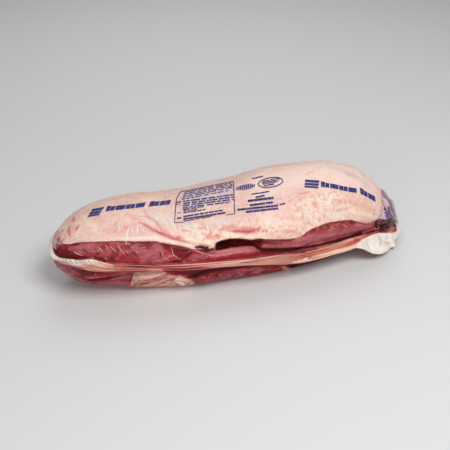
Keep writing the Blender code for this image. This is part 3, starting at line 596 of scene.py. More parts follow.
# Marks on the lower slab
LOWER_MARKS = (
    ("plum", 0.8, 4, 0.2, 56, 262, 60, 268, 66, 272, 73, 276),
    ("rose", 0.3, 2, 0.2, 61, 266, 66, 270.4),
    ("wine", 0.65, 2.4, 0, 72, 268.6, 80, 271.4, 90, 273, 96, 272.4),
    ("clay", 0.6, 2, 0, 80, 272.6, 88, 273.6, 92, 271.6),
    ("deep", 0.55, 0.9, -0.3, 73, 275, 78, 276.4, 84, 276),
    ("scarlet", 0.8, 1.6, 0.3, 92, 276, 97, 274.4, 106, 274, 116, 273.4, 127, 272.4),
    ("glint", 0.8, 0.6, 0.5, 87, 277.6, 95, 277.4, 103, 276.6, 108, 276.2),
    ("glint", 0.5, 0.5, 0.4, 108, 276.2, 116, 275.2, 124, 273.8, 133, 272.6),
    # Painted shade in a crease of the lower slab
    ("deep", 0.85, 0.6, -0.9, 88, 280.2, 95, 279.2, 104, 278.8, 112, 278, 119, 276.4),
    ("veil", 0.6, 1.2, 0.1, 73, 277.4, 80, 279.6, 86, 281),
    ("rose", 0.5, 0.8, 0.2, 73.6, 274.6, 76.6, 275.6),
    ("deep", 0.5, 0.7, 0, 76, 277.6, 80, 279),
    ("plum", 0.75, 2.4, 0, 110, 280, 120, 278, 131, 275.6),
    ("rose", 0.45, 1.4, 0.1, 98, 283, 112, 283.4, 124, 282.4),
    ("scarlet", 0.55, 0.7, 0, 119, 281.8, 128, 281.4, 131, 279.6),
    ("milk", 0.55, 0.9, 0.1, 82, 283.6, 94, 284.8, 108, 285.4, 122, 285.4),
    ("lard", 0.4, 3, 1, 137, 284.4, 148, 284.4, 160, 284.4, 174, 284.6, 184, 284.2, 190, 283),
    ("lard", 0.4, 2.8, 1, 137, 276.4, 146, 275.6, 155, 274.6, 163, 273.4),
    ("lard", 0.4, 2.2, 0.8, 167, 279.6, 176, 278.6, 184, 279.4, 190, 281),
    ("peach", 0.55, 2, 0, 152, 283.6, 164, 281.6, 173, 283),
    ("peach", 0.45, 1.6, 0, 168, 277.6, 176, 277.4),
    ("lard", 0.95, 0.9, 0.9, 134.6, 272.8, 133.4, 276.6, 132.4, 281, 131.6, 285),
    ("deep", 0.65, 0.6, -0.6, 132.8, 273.8, 131.4, 278, 130.2, 283.6),
    ("scarlet", 0.9, 0.9, -0.8, 137, 280.4, 146, 280, 153, 278.8, 160, 276.4, 168, 273.8, 177, 272.2),
    ("garnet", 0.85, 0.8, -0.6, 137, 282, 146, 282, 153, 280.8, 161, 278.8, 169, 277),
    ("peach", 0.85, 0.5, 0.4, 142, 281, 152, 279.8, 160, 277.6, 168, 275.6, 174, 274.8),
    ("salmon", 0.85, 0.9, 0.6, 140, 281.4, 150, 280.8, 158, 278.6, 166, 276, 174, 274.2),
    ("brick", 0.9, 0.6, -0.6, 146, 279.2, 154, 277.4, 162, 274.8, 168, 273),
    ("salmon", 0.7, 0.8, 0.2, 166, 278.4, 172, 280.6, 177, 278.6),
    ("garnet", 0.7, 0.6, -0.4, 164, 281.4, 168, 279.8, 173, 279.4, 176, 276.8),
    ("garnet", 0.65, 0.6, -0.4, 180, 278.6, 184, 280.4, 187, 283.4),
    ("salmon", 0.65, 0.9, 0, 141, 284.8, 147, 286.4, 155, 285.4),
    ("deep", 0.85, 0.9, -0.6, 138, 284.4, 146, 282.8, 150, 282.2),
    ("deep", 0.7, 0.5, -0.5, 134.8, 286, 136, 283.6, 138.4, 281.8),
    ("wine", 0.8, 1, -0.4, 160, 283, 167, 281.2),
    ("brick", 0.8, 1, -0.3, 174, 281.6, 178, 284, 180, 286),
    ("brick", 0.8, 0.8, -0.3, 187, 283.6, 190.6, 281),
    ("brick", 0.75, 0.8, -0.3, 151, 285.4, 158, 283.4),
    # Painted highlights on the fat lump
    ("painted_highlight", 0.85, 1.1, 0.3, 180, 281.4, 182.6, 283.6),
    ("brick", 0.65, 0.9, -0.2, 164, 279.4, 170, 279, 175, 277),
    ("umber", 0.7, 1.1, -0.2, 141, 287, 148, 285.4, 156, 286.4),
    ("umber", 0.65, 0.9, -0.2, 160, 286, 166, 284, 171, 285.6),
    ("tawny", 0.6, 1.4, 0, 139, 277.4, 147, 278.4, 156, 276.6),
    ("brick", 0.6, 0.6, -0.2, 170, 283, 174, 285.4, 179, 286.4),
    # Painted highlights along the fat lump's folds
    ("painted_highlight", 0.8, 0.7, 0.3, 174, 279.4, 178, 278.2, 183, 279.4),
    ("painted_highlight", 0.7, 0.6, 0.3, 138.6, 279, 148, 278.6, 157, 277, 165, 274.8),
    ("cream", 0.8, 0.9, 0.3, 143, 275, 148, 275.6, 154, 274.8),
    ("scarlet", 0.8, 1.2, 0, 170, 272.4, 176, 271.4, 184, 271.6, 190, 271.4),
    # Painted shadow under the fin
    ("painted_shadow", 0.85, 0.9, -0.6, 163, 270.4, 169, 271.4, 175, 270.8, 182, 270.4),
    ("painted_shadow", 0.9, 1.4, -1, 186.4, 277, 192, 275.6, 200, 272.8, 208, 270.8, 217, 269.2),
    ("painted_shadow", 0.9, 1.2, -0.8, 217, 269, 227, 267.4, 237, 266.8, 247, 266.4),
    ("deep", 0.7, 2, -0.4, 203, 274.6, 214, 271.8, 225, 270, 236, 269),
    ("painted_shadow", 0.75, 0.7, -0.4, 247, 266.2, 262, 266, 275, 265.4, 285, 265),
    ("veil", 0.45, 1.6, 0.1, 200, 281.6, 212, 279.6, 226, 277, 240, 274.4),
    ("oxblood", 0.75, 1.3, -0.2, 206, 277.4, 214, 275, 222, 272.6),
    ("oxblood", 0.6, 1, -0.2, 224, 279, 232, 276.6, 240, 275.6),
    ("rose", 0.6, 0.7, 0.2, 209, 276, 208, 279.6),
    ("rose", 0.55, 0.6, 0.2, 219, 273.4, 222, 276.4),
    ("oxblood", 0.7, 1.1, -0.2, 244, 273.4, 249, 276.6),
    ("bloom", 0.6, 1.4, 0.1, 256, 267.8, 262, 270.4, 254, 272.4),
    ("oxblood", 0.7, 1.2, -0.2, 262, 272, 272, 271.6, 280, 269.6),
    ("rose", 0.5, 0.6, 0.2, 268, 268, 271, 270.6),
    # Painted shade in small folds of the lower slab
    ("painted_shadow", 0.8, 0.6, -0.3, 205, 279.6, 206.4, 276.6, 210, 274.4),
    ("painted_shadow", 0.75, 0.5, -0.3, 214, 279.6, 216.6, 276.4, 216, 273.4),
    ("scarlet", 0.7, 0.9, 0.2, 201, 276.6, 204, 279, 203, 281.6),
    ("blood", 0.6, 0.7, 0.2, 213, 272.6, 211, 275.6, 212.6, 278),
    ("painted_shadow", 0.7, 0.5, -0.3, 232, 278.6, 235, 274.6, 241, 272.4),
    ("painted_shadow", 0.75, 0.6, -0.3, 246, 274.6, 252, 270.6, 260, 269.4),
    ("blood", 0.55, 0.9, 0.1, 233, 271, 240, 269.8, 246, 271),
    ("painted_shadow", 0.7, 0.6, -0.3, 265, 272.6, 272, 269, 280, 267.4),
    ("scarlet", 0.55, 0.8, 0.1, 256, 272.6, 263, 270.4, 270, 268.6),
    ("oxblood", 0.65, 1.2, -0.2, 196, 282, 204, 283.4, 212, 281.6),
    ("blood", 0.6, 0.8, 0.2, 198.6, 279, 201, 281),
    ("rose", 0.4, 1, 0.2, 204, 277, 207, 281),
    ("rose", 0.45, 1.1, 0.2, 227, 273, 230.6, 277),
    ("rose", 0.5, 0.9, 0.2, 239, 272, 241.4, 276),
    ("scarlet", 0.55, 1.6, 0, 197, 279.6, 203, 280, 208, 279),
    ("glint", 0.6, 0.8, 0.2, 252, 273, 257.4, 270.6, 261, 268.4),
    ("rose", 0.45, 1.5, 0.1, 243, 270, 250, 270.4, 258, 269),
    ("painted_shadow", 0.8, 0.6, -0.6, 250, 277, 258, 275, 264, 272.6, 270, 270),
    ("tan", 0.7, 0.5, 0.4, 258, 275.4, 264, 273, 269, 271),
    ("clay", 0.5, 1.4, 0, 262, 268.6, 270, 268),
    ("ember", 0.6, 1.6, 0.1, 271, 270.4, 277, 268.8, 282, 267.4),
    ("orange", 0.5, 0.8, 0.1, 274, 270.4, 279, 269, 282, 268),
    ("milk", 0.55, 0.6, 0.1, 192, 285, 202, 284, 213, 282.6, 222, 281),
    ("rose", 0.55, 0.6, 0.1, 222, 281, 233, 278.8, 246, 276.6),
    # Painted shade under a small fold of film
    ("painted_shadow", 0.9, 1, -0.8, 286, 265, 290, 266.4, 294.4, 266.8, 297, 265.6),
    ("cream", 0.9, 0.7, 0.7, 282.4, 266.4, 285.4, 267.8, 290, 269, 294.6, 268.4, 297.6, 266.8),
    ("deep", 0.7, 1.2, 0, 300, 264.4, 314, 262, 328, 259.4, 342, 256),
)

# Marks on the fin
FIN_MARKS = (
    # A whitish line along the fin's outline at the thin end: partly the film's own haze, partly painted
    # sheen
    ("milk", 0.85, 1.6, 0.2, 50.4, 237, 49.4, 243, 49.6, 249, 51.6, 254, 56, 257.6),
    ("milk", 0.9, 1.9, 0.3, 56, 258.4, 62, 259.8, 72, 260.6, 84, 260.4, 95, 260),
    ("grey milk", 0.7, 1.3, 0, 58, 261.6, 66, 263.8, 76, 265.2, 86, 266.8),
    ("plum", 0.75, 0.9, 0, 58, 263.4, 66, 265.8, 76, 267.6),
    ("peach", 0.7, 1.2, 0.1, 97, 260.8, 104, 264, 112, 266.8, 120, 268.2),
    ("lard", 0.6, 1.2, 0.1, 92, 263, 100, 265.4, 108, 267.6),
    ("tan", 0.8, 1.4, -0.1, 82, 266.4, 90, 267.8, 99, 268.8, 110, 269.6, 120, 269.8),
    ("peach", 0.75, 0.9, 0.2, 95, 270.8, 104, 271, 114, 270.8),
    # Painted shadow at the foot of the cut side, just above the fin
    ("painted_shadow", 1, 1, -0.3, 96, 257.6, 101, 259.4, 106, 261.6, 112, 263, 120, 263.6),
    ("deep", 1, 0.9, -0.2, 120, 263.4, 135, 264.2, 150, 264.2, 165, 263.6, 180, 262.8),
    ("glint", 0.6, 0.5, 0.3, 110, 264.2, 118, 264.8, 130, 265.2, 142, 265.6, 153, 266),
    ("deep", 1, 0.6, -0.4, 123, 266.2, 132, 266.9, 143, 267.1, 155, 266.9),
    ("peach", 0.7, 0.6, 0.3, 116, 267.4, 128, 268, 140, 268.3, 150, 268.6),
    ("salmon", 0.7, 0.7, 0.1, 122, 270, 134, 270, 146, 270),
    ("oxblood", 0.85, 0.8, -0.2, 104, 271.8, 124, 272, 140, 271.6, 152, 271),
    ("painted_shadow", 0.95, 0.7, -0.3, 118, 264.2, 128, 264.7, 140, 265, 150, 264.8),
    ("oxblood", 0.85, 0.5, -0.3, 126, 266.2, 136, 266.5, 146, 266.4),
    ("brick", 0.7, 0.5, -0.2, 100, 268.4, 112, 269.4, 124, 269.2, 138, 269),
    ("umber", 0.6, 0.4, -0.2, 104, 265.8, 114, 267.2, 126, 267.8),
    ("lard", 0.7, 1, 0.3, 148, 269.6, 155, 269.4, 162, 270),
    ("rose", 1, 0.9, 0.3, 154, 265.6, 165, 265.4, 180, 264.8, 200, 263.9, 214, 263),
    ("salmon", 0.7, 0.8, 0.1, 158, 266.6, 166, 266.4, 176, 266.2),
    ("scarlet", 0.75, 0.8, -0.2, 152, 267.4, 166, 267.4, 182, 266.6, 198, 265.8),
    ("rose", 0.85, 0.7, 0.2, 166, 268, 182, 267.6, 198, 266.6, 212, 265),
    ("deep", 0.95, 0.6, -0.3, 168, 269, 180, 269.2, 192, 268.4, 203, 267),
    ("scarlet", 0.75, 0.9, 0, 178, 270.6, 190, 270.2, 202, 268.6, 212, 267),
    ("rose", 0.7, 0.6, 0.2, 184, 271.4, 194, 270.6, 204, 268.8),
    ("peach", 0.55, 1, 0.2, 203, 264, 216, 264.6, 230, 264, 246, 262.6, 262, 261),
    ("glint", 0.75, 0.6, 0.2, 206, 262.8, 220, 262.2, 236, 261.2, 250, 259.6),
    ("peach", 0.6, 0.6, 0.3, 212, 264.4, 226, 264, 242, 263, 258, 262, 270, 261),
    ("tan", 0.6, 0.5, -0.2, 214, 265.4, 230, 265, 246, 263.8),
    ("clay", 0.6, 0.5, -0.2, 240, 262.8, 252, 261.6, 264, 260.4),
    ("rose", 0.75, 0.9, 0.1, 244, 259.6, 258, 257.8, 272, 256.4, 288, 254.8, 300, 253.4),
    ("tawny", 0.6, 1.8, 0, 256, 262, 270, 261, 285, 260, 298, 258, 308, 256.8),
    ("peach", 0.6, 0.5, 0.3, 256, 259.4, 270, 257.8, 286, 256.4, 300, 255.2),
    ("umber", 0.7, 0.4, -0.3, 262, 260.8, 276, 259.4, 290, 258, 304, 256.6),
    ("peach", 0.55, 0.4, 0.2, 250, 262.6, 264, 262, 280, 261, 296, 259.4),
    ("brick", 0.55, 0.4, -0.2, 266, 264.2, 280, 263.6, 294, 262.4),
    ("cream", 0.8, 0.8, 0.3, 292, 262.4, 300, 261.4),
    ("cream", 0.85, 0.8, 0.3, 298, 261.6, 304, 260.8, 312, 259.6),
    ("peach", 0.8, 0.8, 0.3, 312, 259.4, 326, 256.8, 340, 253, 352, 250.6),
    ("brick", 0.45, 0.5, -0.2, 304, 262.4, 318, 259.8, 332, 256.4, 346, 252.6),
    ("wine", 0.95, 1, -0.2, 282, 251.6, 292, 251, 302, 250, 312, 248.4),
    ("garnet", 0.75, 1, 0, 288, 252.8, 298, 252.2, 308, 251, 316, 249.6),
    # Painted shadow in the groove above the fin
    ("painted_shadow", 1, 1, -0.3, 312, 247.6, 325, 245, 338, 241.6, 349, 237.6),
    ("deep", 0.95, 0.9, -0.3, 349, 237.6, 357, 234.6, 365, 232.6, 374, 231.4),
    ("peach", 1, 0.9, 0.4, 306, 252, 318, 249.8, 332, 246, 345, 241.6, 356, 237.6, 366, 234.6),
    ("lard", 0.55, 0.5, 0.2, 326, 249, 340, 245, 352, 240.8, 362, 237),
    ("rust", 0.6, 1, -0.1, 298, 254, 310, 252.8, 324, 250, 338, 246.8, 350, 243.4, 361, 239.4),
    ("ember", 0.8, 0.8, -0.2, 344, 244.8, 352, 242, 358, 239.8, 366, 236.8),
    ("tan", 0.6, 0.8, 0, 308, 255.4, 322, 252.6, 336, 249.4, 346, 246.6),
    ("lard", 0.9, 1.4, 0.2, 312, 256.6, 326, 253.6, 340, 250, 352, 247, 358, 245.4),
    ("milk", 0.95, 0.8, 0.3, 303, 259.6, 308, 258),
    ("rose", 0.65, 0.7, 0, 352, 248.8, 357, 248.6),
    # The shrunk corner's folds: painted shade in their creases, painted highlights along their ridges
    ("crease_shade", 0.55, 1, -0.4, 379.4, 234.4, 380, 238, 381.8, 240.6, 380.4, 244, 378.6, 247.6),
    ("painted_highlight", 0.8, 1, 0.5, 376.6, 236, 377.2, 240, 378, 243.6, 376.4, 247),
    ("painted_highlight", 0.8, 0.9, 0.5, 369, 242, 371.4, 245.6, 372.6, 250),
    ("crease_shade", 0.4, 0.8, -0.3, 366.4, 243, 368.8, 246.6, 370.4, 250),
    ("blush", 0.6, 1, 0, 384, 236.4, 387, 237.6, 389.4, 237),
    ("crease_shade", 0.45, 0.8, -0.3, 384, 242, 387.4, 243.6, 390.6, 242),
    ("painted_highlight", 0.7, 1, 0.4, 383.4, 239.4, 388, 240.6, 392, 238.6),
    # Painted shade along the root of the fin's shrunk corner
    ("painted_shadow", 1, 0.8, -0.3, 366, 231.6, 374, 230.6, 382, 231, 388, 231),
    # Painted highlight along the outline of the gathered film at the thick end
    ("rim", 0.85, 0.9, 0.2, 394.4, 208, 396, 214, 396, 221, 398, 226.6, 400.4, 231),
)

# Rib lines across the fin at the thin end: first and last place across, their step, how far
# down each starts and ends, and its slant
FIN_RIBS = (63, 97, 3.7, 260.6, 263.4, 2.6)
# The rib lines are painted shade in the grooves between the ribs.
RIB_SHADE = ("crease_shade", 0.85, 0.75, -0.35)  # colour, strength, half width, height
RIB_SWAY, RIB_SWAY_RATE = 0.3, 5.0  # keep the ribs from standing evenly

# Milky or lilac streaks on the film itself, along its outlines: partly the film's own milky haze, partly
# painted sheen where it turns away from view
FILM_MARKS = (
    ("milk", 0.3, 2.2, 0, 57, 235, 55.6, 241, 55, 248),
    ("mist", 0.7, 0.7, 0, 56.8, 263.2, 60, 267.8, 64, 271.8, 69, 275, 75, 277.8, 83, 280.6,
     93, 282.8),
    ("milk", 0.4, 1, 0, 92, 285, 110, 286, 128, 286),
    ("milk", 0.55, 0.9, 0, 188, 286, 205, 284.6, 222, 281.6),
    ("milk", 0.6, 1, 0, 390.6, 200, 394, 207, 395.6, 215, 395.4, 222, 397, 226.6),
    ("lilac", 0.55, 0.5, 0, 386.6, 220.4, 389, 223.6, 391.4, 226.6),
    ("lilac", 0.5, 0.5, 0, 391, 212, 393.6, 216.4, 395, 220.4),
    ("lilac", 0.25, 5, 0, 346, 172, 358, 178, 370, 186),
)

# Dark and red places of the film, where it is gathered over the thick end
FILM_FIELDS = (
    ("smoke", 0.75, 1.2, 0, 388, 199, 391.4, 199, 395, 205, 397.6, 213, 399, 222, 397.4, 227.4,
     391.6, 227.4, 391, 219, 391.6, 212, 390.4, 206),
    ("maroon", 0.8, 1, 0, 380, 222.6, 386, 219.6, 397, 218.4, 397.6, 226.6, 390, 227.6,
     384.6, 231.2, 380.2, 231),
    ("brick", 0.85, 0.7, 0, 386.6, 230.6, 390, 228.4, 394, 227.2, 397.4, 227.4, 397.4, 231.6,
     387, 232.4),
)

# Creases of the film, coloured as painted highlights where they catch the light: colour, half width in
# pixels, then places
CREASE_HIGHLIGHTS = (
    ("painted_highlight", 0.75, 131.5, 224.2, 128.6, 228, 127, 233, 126.2, 238, 126, 243.6, 127.6, 245.4),
    ("painted_highlight", 0.65, 132, 224.2, 131.8, 229, 132.2, 233.4, 134, 238),
    ("painted_highlight", 0.6, 137.6, 223.4, 137.2, 229.8, 138.2, 236.7),
    ("painted_highlight", 0.6, 138.4, 222.9, 141, 227.4, 144, 231.6, 146.6, 236),
    ("glint", 0.35, 126, 243.4, 129, 243.8, 131.4, 245),
    ("glint", 0.35, 68, 248.2, 71.6, 250.6),
    ("glint", 0.6, 72.6, 251.2, 76, 253.2, 80, 254.8, 84.4, 255.8),
    ("glint", 0.4, 78.6, 251.6, 81.4, 253.4),
    ("glint", 0.4, 98, 246, 100, 248.6, 102.6, 251.6),
    ("glint", 0.4, 96, 249.4, 99.4, 252.6),
    ("glint", 0.4, 104.6, 244, 107, 246.6, 108.4, 248.6),
    ("glint", 0.35, 109, 246, 112.6, 248.4, 117, 252.4),
    ("glint", 0.35, 108.6, 247.6, 106, 249.8),
    ("glint", 0.35, 116.4, 241.6, 119, 247, 121.6, 251, 126.8, 256.8),
    ("glint", 0.35, 104, 257, 107.6, 260.2),
    ("glint", 0.35, 125.6, 250, 129, 254.4),
    ("glint", 0.4, 135.6, 250.8, 138.4, 253.8),
    ("glint", 0.35, 131, 246, 133.6, 248.4),
    ("glint", 0.35, 160.8, 249.6, 162.4, 254, 163.4, 259),
    ("glint", 0.4, 162, 259.4, 166, 258.6, 169.8, 260.6),
    ("glint", 0.4, 153, 256.6, 153.8, 259.2),
    ("glint", 0.3, 153.8, 258.4, 156.6, 256.2),
    ("glint", 0.35, 170.6, 245.4, 172, 250, 173.4, 254.6, 177, 257.4, 180.6, 260),
    ("glint", 0.3, 142, 247.8, 146.4, 246.8),
    ("glint", 0.35, 191, 261.6, 194, 260.2, 196.6, 261.4),
    ("glint", 0.3, 183, 262.4, 184.6, 260.6),
    ("glint", 0.3, 205.4, 255.2, 208, 257.8),
    ("glint", 0.3, 333, 227.4, 330, 230, 327, 231.6),
    ("glint", 0.3, 255.6, 274.4, 260, 271.4, 265, 268),
    ("glint", 0.3, 96.4, 273.4, 95, 275),
    ("painted_highlight", 0.4, 383, 198, 387, 201.4, 390.4, 205.4),
    ("painted_highlight", 0.35, 388.4, 207, 391.6, 212, 392.6, 217),
    ("glint", 0.35, 377, 225.6, 380.6, 228.4),
)

INK, WORN_INK = (22, 22, 104), (58, 58, 140)

# Print on the film, as plain shapes
BLOCK_LINES = (  # slanted blocks: places along the middle, height, slant, number of blocks
    ((106.5, 208.8, 120, 207.1, 134, 205.7, 146, 204.0), 4.9, 1.8, 8),
    ((149.5, 204.2, 156, 203.2, 163, 202.8, 171.4, 201.4), 5.0, 1.8, 4),
    ((321.0, 184.1, 333, 185.8, 345, 188.4, 357.4, 190.4), 5.2, -0.4, 8),
    ((360.2, 190.6, 366, 193.6, 371, 196.4, 376.0, 199.2), 6.0, -0.6, 4),
)
MARK_BARS = (  # corners of each bar, clockwise from the top left
    (92.6, 209.0, 104.4, 206.9, 102.7, 209.5, 90.9, 211.6),
    (90.4, 212.4, 102.2, 210.3, 100.6, 212.6, 88.8, 214.7),
    (88.4, 215.4, 100.2, 213.3, 99.2, 214.9, 87.4, 217.0),
    (305.4, 179.6, 319.2, 180.6, 319.0, 182.9, 305.0, 181.9),
    (305.0, 182.7, 318.8, 183.7, 318.6, 185.9, 304.6, 184.9),
    (304.6, 185.7, 318.4, 186.7, 318.1, 188.4, 304.3, 187.4),
)
BOX_LINES = (  # thin rules: half width, then places
    (0.38, 181, 191.6, 178.2, 195.4, 176.4, 200, 175.6, 208, 175.0, 216, 174.6, 222.8),
    (0.30, 174.6, 222.8, 181, 222.4, 184, 222.0),
    (0.38, 233.4, 181.2, 234.0, 192, 234.4, 203, 234.8, 213.6),
    (0.26, 226, 215.0, 234.8, 213.6),
    (0.26, 181, 191.6, 207, 186.4, 233.4, 181.2),
)
PRINT_ROWS = (  # height, ink share, then the row's two ends
    (0.60, 0.66, 184.4, 192.4, 232.6, 182.8), (0.60, 0.66, 183.6, 194.1, 232.8, 184.3),
    (0.60, 0.66, 183.2, 195.8, 232.8, 185.8), (0.60, 0.66, 183.0, 197.5, 232.8, 187.3),
    (0.65, 0.60, 183.0, 199.2, 228.6, 190.4),
    (1.10, 0.70, 183.2, 201.4, 233.2, 194.6), (1.10, 0.72, 183.2, 203.6, 233.4, 197.0),
    (1.10, 0.72, 183.0, 205.7, 233.6, 199.3), (1.00, 0.70, 207.0, 204.8, 230.4, 201.9),
    (0.90, 0.78, 183.0, 207.9, 204.4, 205.0), (0.90, 0.78, 183.0, 209.5, 203.6, 206.7),
    (0.80, 0.74, 183.4, 211.0, 198.4, 209.0),
    (1.00, 0.80, 183.4, 212.8, 205.4, 209.4),
    (1.30, 0.84, 183.4, 216.6, 222.8, 210.2), (1.60, 0.90, 183.4, 219.2, 226.2, 212.6),
    (0.80, 0.74, 184.0, 221.2, 212.0, 216.2),
    (1.00, 0.60, 176.6, 202.6, 181.0, 201.4), (0.60, 0.60, 177.4, 204.4, 180.6, 203.8),
    (0.60, 0.80, 176.8, 213.2, 180.8, 212.4), (1.30, 0.80, 177.0, 218.4, 181.2, 217.6),
    (1.10, 0.90, 252.2, 178.6, 263.0, 176.2),
    (1.00, 0.88, 251.0, 194.3, 269.4, 191.5),
    (1.60, 0.90, 256.0, 197.3, 264.6, 195.4), (2.20, 0.93, 247.8, 201.0, 273.6, 197.8),
    (1.90, 0.90, 249.8, 205.3, 272.8, 202.3),
    (1.90, 0.92, 238.6, 209.7, 278.0, 205.5), (1.50, 0.90, 279.4, 205.0, 285.2, 203.2),
    (1.90, 0.92, 245.8, 212.0, 278.2, 208.4),
    (0.85, 0.85, 264.4, 181.0, 279.8, 178.0), (0.85, 0.85, 261.8, 182.8, 279.4, 179.8),
    (0.85, 0.85, 262.6, 184.2, 277.6, 181.6), (1.00, 0.85, 264.0, 185.8, 274.0, 184.0),
    (0.90, 0.85, 385.6, 210.4, 390.4, 213.0), (0.90, 0.92, 385.4, 212.8, 390.6, 215.4),
    (0.90, 0.90, 385.6, 215.2, 390.0, 217.8),
)
OVALS = (  # middle, half size, tilt in degrees, half width of the rule
    (270.6, 182.4, 12.4, 4.7, 9.0, 0.42),
)
STAMP = (245.6, 187.0, 9.6, 2.9, 9.5)  # a small oval of upright dashes


def ease(t):
    t = np.clip(t, 0.0, 1.0)
    return t * t * (3 - 2 * t)


def spline(a, b, c, d, t):
    """A smooth curve from b to c as t goes from 0 to 1, with a before them and d after."""
    bend = (2 * a - 5 * b + 4 * c - d) * t**2 + (3 * b - a - 3 * c + d) * t**3
    return 0.5 * (2 * b + (c - a) * t + bend)


def along(values, x):
    """A smooth curve through values at even stations from tip to tip."""
    v = np.asarray(values)
    last = len(v) - 1
    place = np.clip((x / HALF_LENGTH + 1) / 2 * last, 0.0, last)
    k = np.minimum(place.astype(int), last - 1)
    t = place - k
    padded = np.concatenate(([2 * v[0] - v[1]], v, [2 * v[-1] - v[-2]]))
    return spline(*(padded[k + i] for i in range(4)), t)


def reach(x, ends):
    """From 0 to 1 and back along x."""
    start, full, fading, end = ends
    return ease((x - start) / (full - start)) * ease((end - x) / (end - fading))


def swell(value, middle, half):
    """A round hump: 1 at the middle, 0 from half away on."""
    away = np.abs(value - middle) / half
    return np.where(away < 1, np.cos(np.minimum(away, 1) * pi / 2) ** 2, 0.0)


def through(knots, values, place):
    """An eased line through values at the knots."""
    result = values[0]
    for k in range(len(knots) - 1):
        step = ease((place - knots[k]) / (knots[k + 1] - knots[k]))
        result = result + (values[k + 1] - values[k]) * step
    return result


def stack(x, y, z):
    return np.stack(np.broadcast_arrays(x, y, z), axis=-1)


def outline(bearing):
    x = HALF_LENGTH * np.cos(bearing)
    end = np.sqrt(np.maximum(0.0, 1 - np.abs(np.cos(bearing)) ** END_FULLNESS))
    front = np.sin(bearing) < 0
    return x, np.where(front, -along(FRONT_HALF_WIDTH, x), along(BACK_HALF_WIDTH, x)) * end


def outward(bearing):
    (x0, y0), (x1, y1) = outline(bearing - 0.01), outline(bearing + 0.01)
    long = np.hypot(x1 - x0, y1 - y0)
    return (y1 - y0) / long, -(x1 - x0) / long


def side_share(bearing):
    return ease(np.abs(outward(bearing)[1]) / FULL_RELIEF)


def dome(bearing, angle):
    """The upper slab before its cut side is set back: angle 0 is the crown, pi/2 the seam."""
    rho = np.sin(angle)
    x, y = (edge * rho for edge in outline(bearing))
    dent = sum(d * swell(x, u, ru) * swell(y, v, rv) for u, v, ru, rv, d in DENTS)
    rise = along(CROWN_RISE, x) * np.sqrt(np.maximum(0.0, 1 - rho**CROWN_FULLNESS))
    return stack(x, y, along(SEAM_HEIGHT, x) + rise - dent)


PHOTO_EDGE = []  # filled with the fat's edge as the photo shows it


def fat_edge(x, front):
    """The fat's edge above the seam: in front as the photo shows it."""
    line = along(FRONT_FAT_EDGE, x)
    if PHOTO_EDGE:
        stations, heights = PHOTO_EDGE[0]
        first, last = stations[0], stations[-1]
        inside = reach(x, (first, first + FAT_EDGE_BLEND, last - FAT_EDGE_BLEND, last))
        line = line + (np.interp(x, stations, heights) - line) * inside
    return np.where(front, line, along(BACK_FAT_EDGE, x))


HALVINGS = 30  # of a search between two angles


def fat_edge_angle(bearing):
    front = np.sin(bearing) < 0
    low, high = np.zeros_like(bearing), np.full_like(bearing, pi / 2)
    for _ in range(HALVINGS):
        angle = (low + high) / 2
        point = dome(bearing, angle)
        x = point[..., 0]
        above = point[..., 2] > along(SEAM_HEIGHT, x) + fat_edge(x, front)
        low, high = np.where(above, angle, low), np.where(above, high, angle)
    return high


def setback(bearing, x, share, line, bridged):
    """How far the cut side stands in from the dome, share of the way down from the fat's edge."""
    low = 1 - line
    knots = (0 * line, 0.16 * line, 0.52 * line, 0.86 * line,
             line + 0.22 * low, line + 0.6 * low, 0 * line + 1)
    front = np.where(np.sin(bearing) < 0, 1.0, 0.0)
    hollow = front * HOLLOW_DEPTH * reach(x, HOLLOW_REACH) * bridged
    lobe = front * LOBE_SWELL * reach(x, LOBE_REACH)
    groove = front * GROOVE_DEPTH * reach(x, GROOVE_REACH) * bridged
    lean = LEAN_SETBACK
    depths = (0 * line, lean + 0.6 * hollow, 0.7 * lean + 0.85 * hollow,
              0.6 * lean + hollow + 0.4 * groove, 0.5 * lean - 0.9 * lobe + 0.8 * groove,
              0.6 * lean - lobe + groove, 0.6 * groove)
    return through(knots, depths, share) * side_share(bearing)


def shares(count, first=0):
    return (np.arange(first, count + 1) / count)[:, None]


def cut_side(bearing, edge, share, bridged):
    """The upper slab's side, at each share of the way down from the fat's edge to the seam."""
    side = dome(bearing, edge + (pi / 2 - edge) * share)
    x = dome(bearing, edge)[..., 0]
    depth = setback(bearing, x, share, along(SIDE_LINE, x), bridged)
    out_x, out_y = outward(bearing)
    return side - stack(out_x * depth, out_y * depth, 0 * depth)


def even_shares(bearing, edge, count, bridged):
    """Shares that lie evenly along the side's folds, so that its ledges get levels too."""
    fine = shares(SIDE_PROFILE_STEPS)
    steps = np.linalg.norm(np.diff(cut_side(bearing, edge, fine, bridged), axis=0), axis=2)
    run = np.concatenate((0 * edge[None], np.cumsum(steps, axis=0)))
    return np.stack([
        np.interp(shares(count, 1)[:, 0] * run[-1, k], run[:, k], fine[:, 0])
        for k in range(len(edge))
    ], axis=1)


def upper_levels(bearing, cover_count, side_count, bridged=1.0):
    """The upper slab's skin, from the crown to the seam: [level, bearing, xyz]."""
    edge = fat_edge_angle(bearing)
    cover = dome(bearing, edge * shares(cover_count) ** COVER_SPREAD)
    share = even_shares(bearing, edge, side_count, bridged)
    return np.concatenate((cover, cut_side(bearing, edge, share, bridged)))


def belly(bearing, angle):
    rho = np.sin(angle)
    x, y = (edge * rho for edge in outline(bearing))
    seam = along(SEAM_HEIGHT, x)
    hang = np.maximum(0.0, 1 - rho ** along(BELLY_FULLNESS, x)) ** BELLY_ROUNDING
    return stack(x, y, np.maximum(0.0, seam - (seam + SAG) * hang))


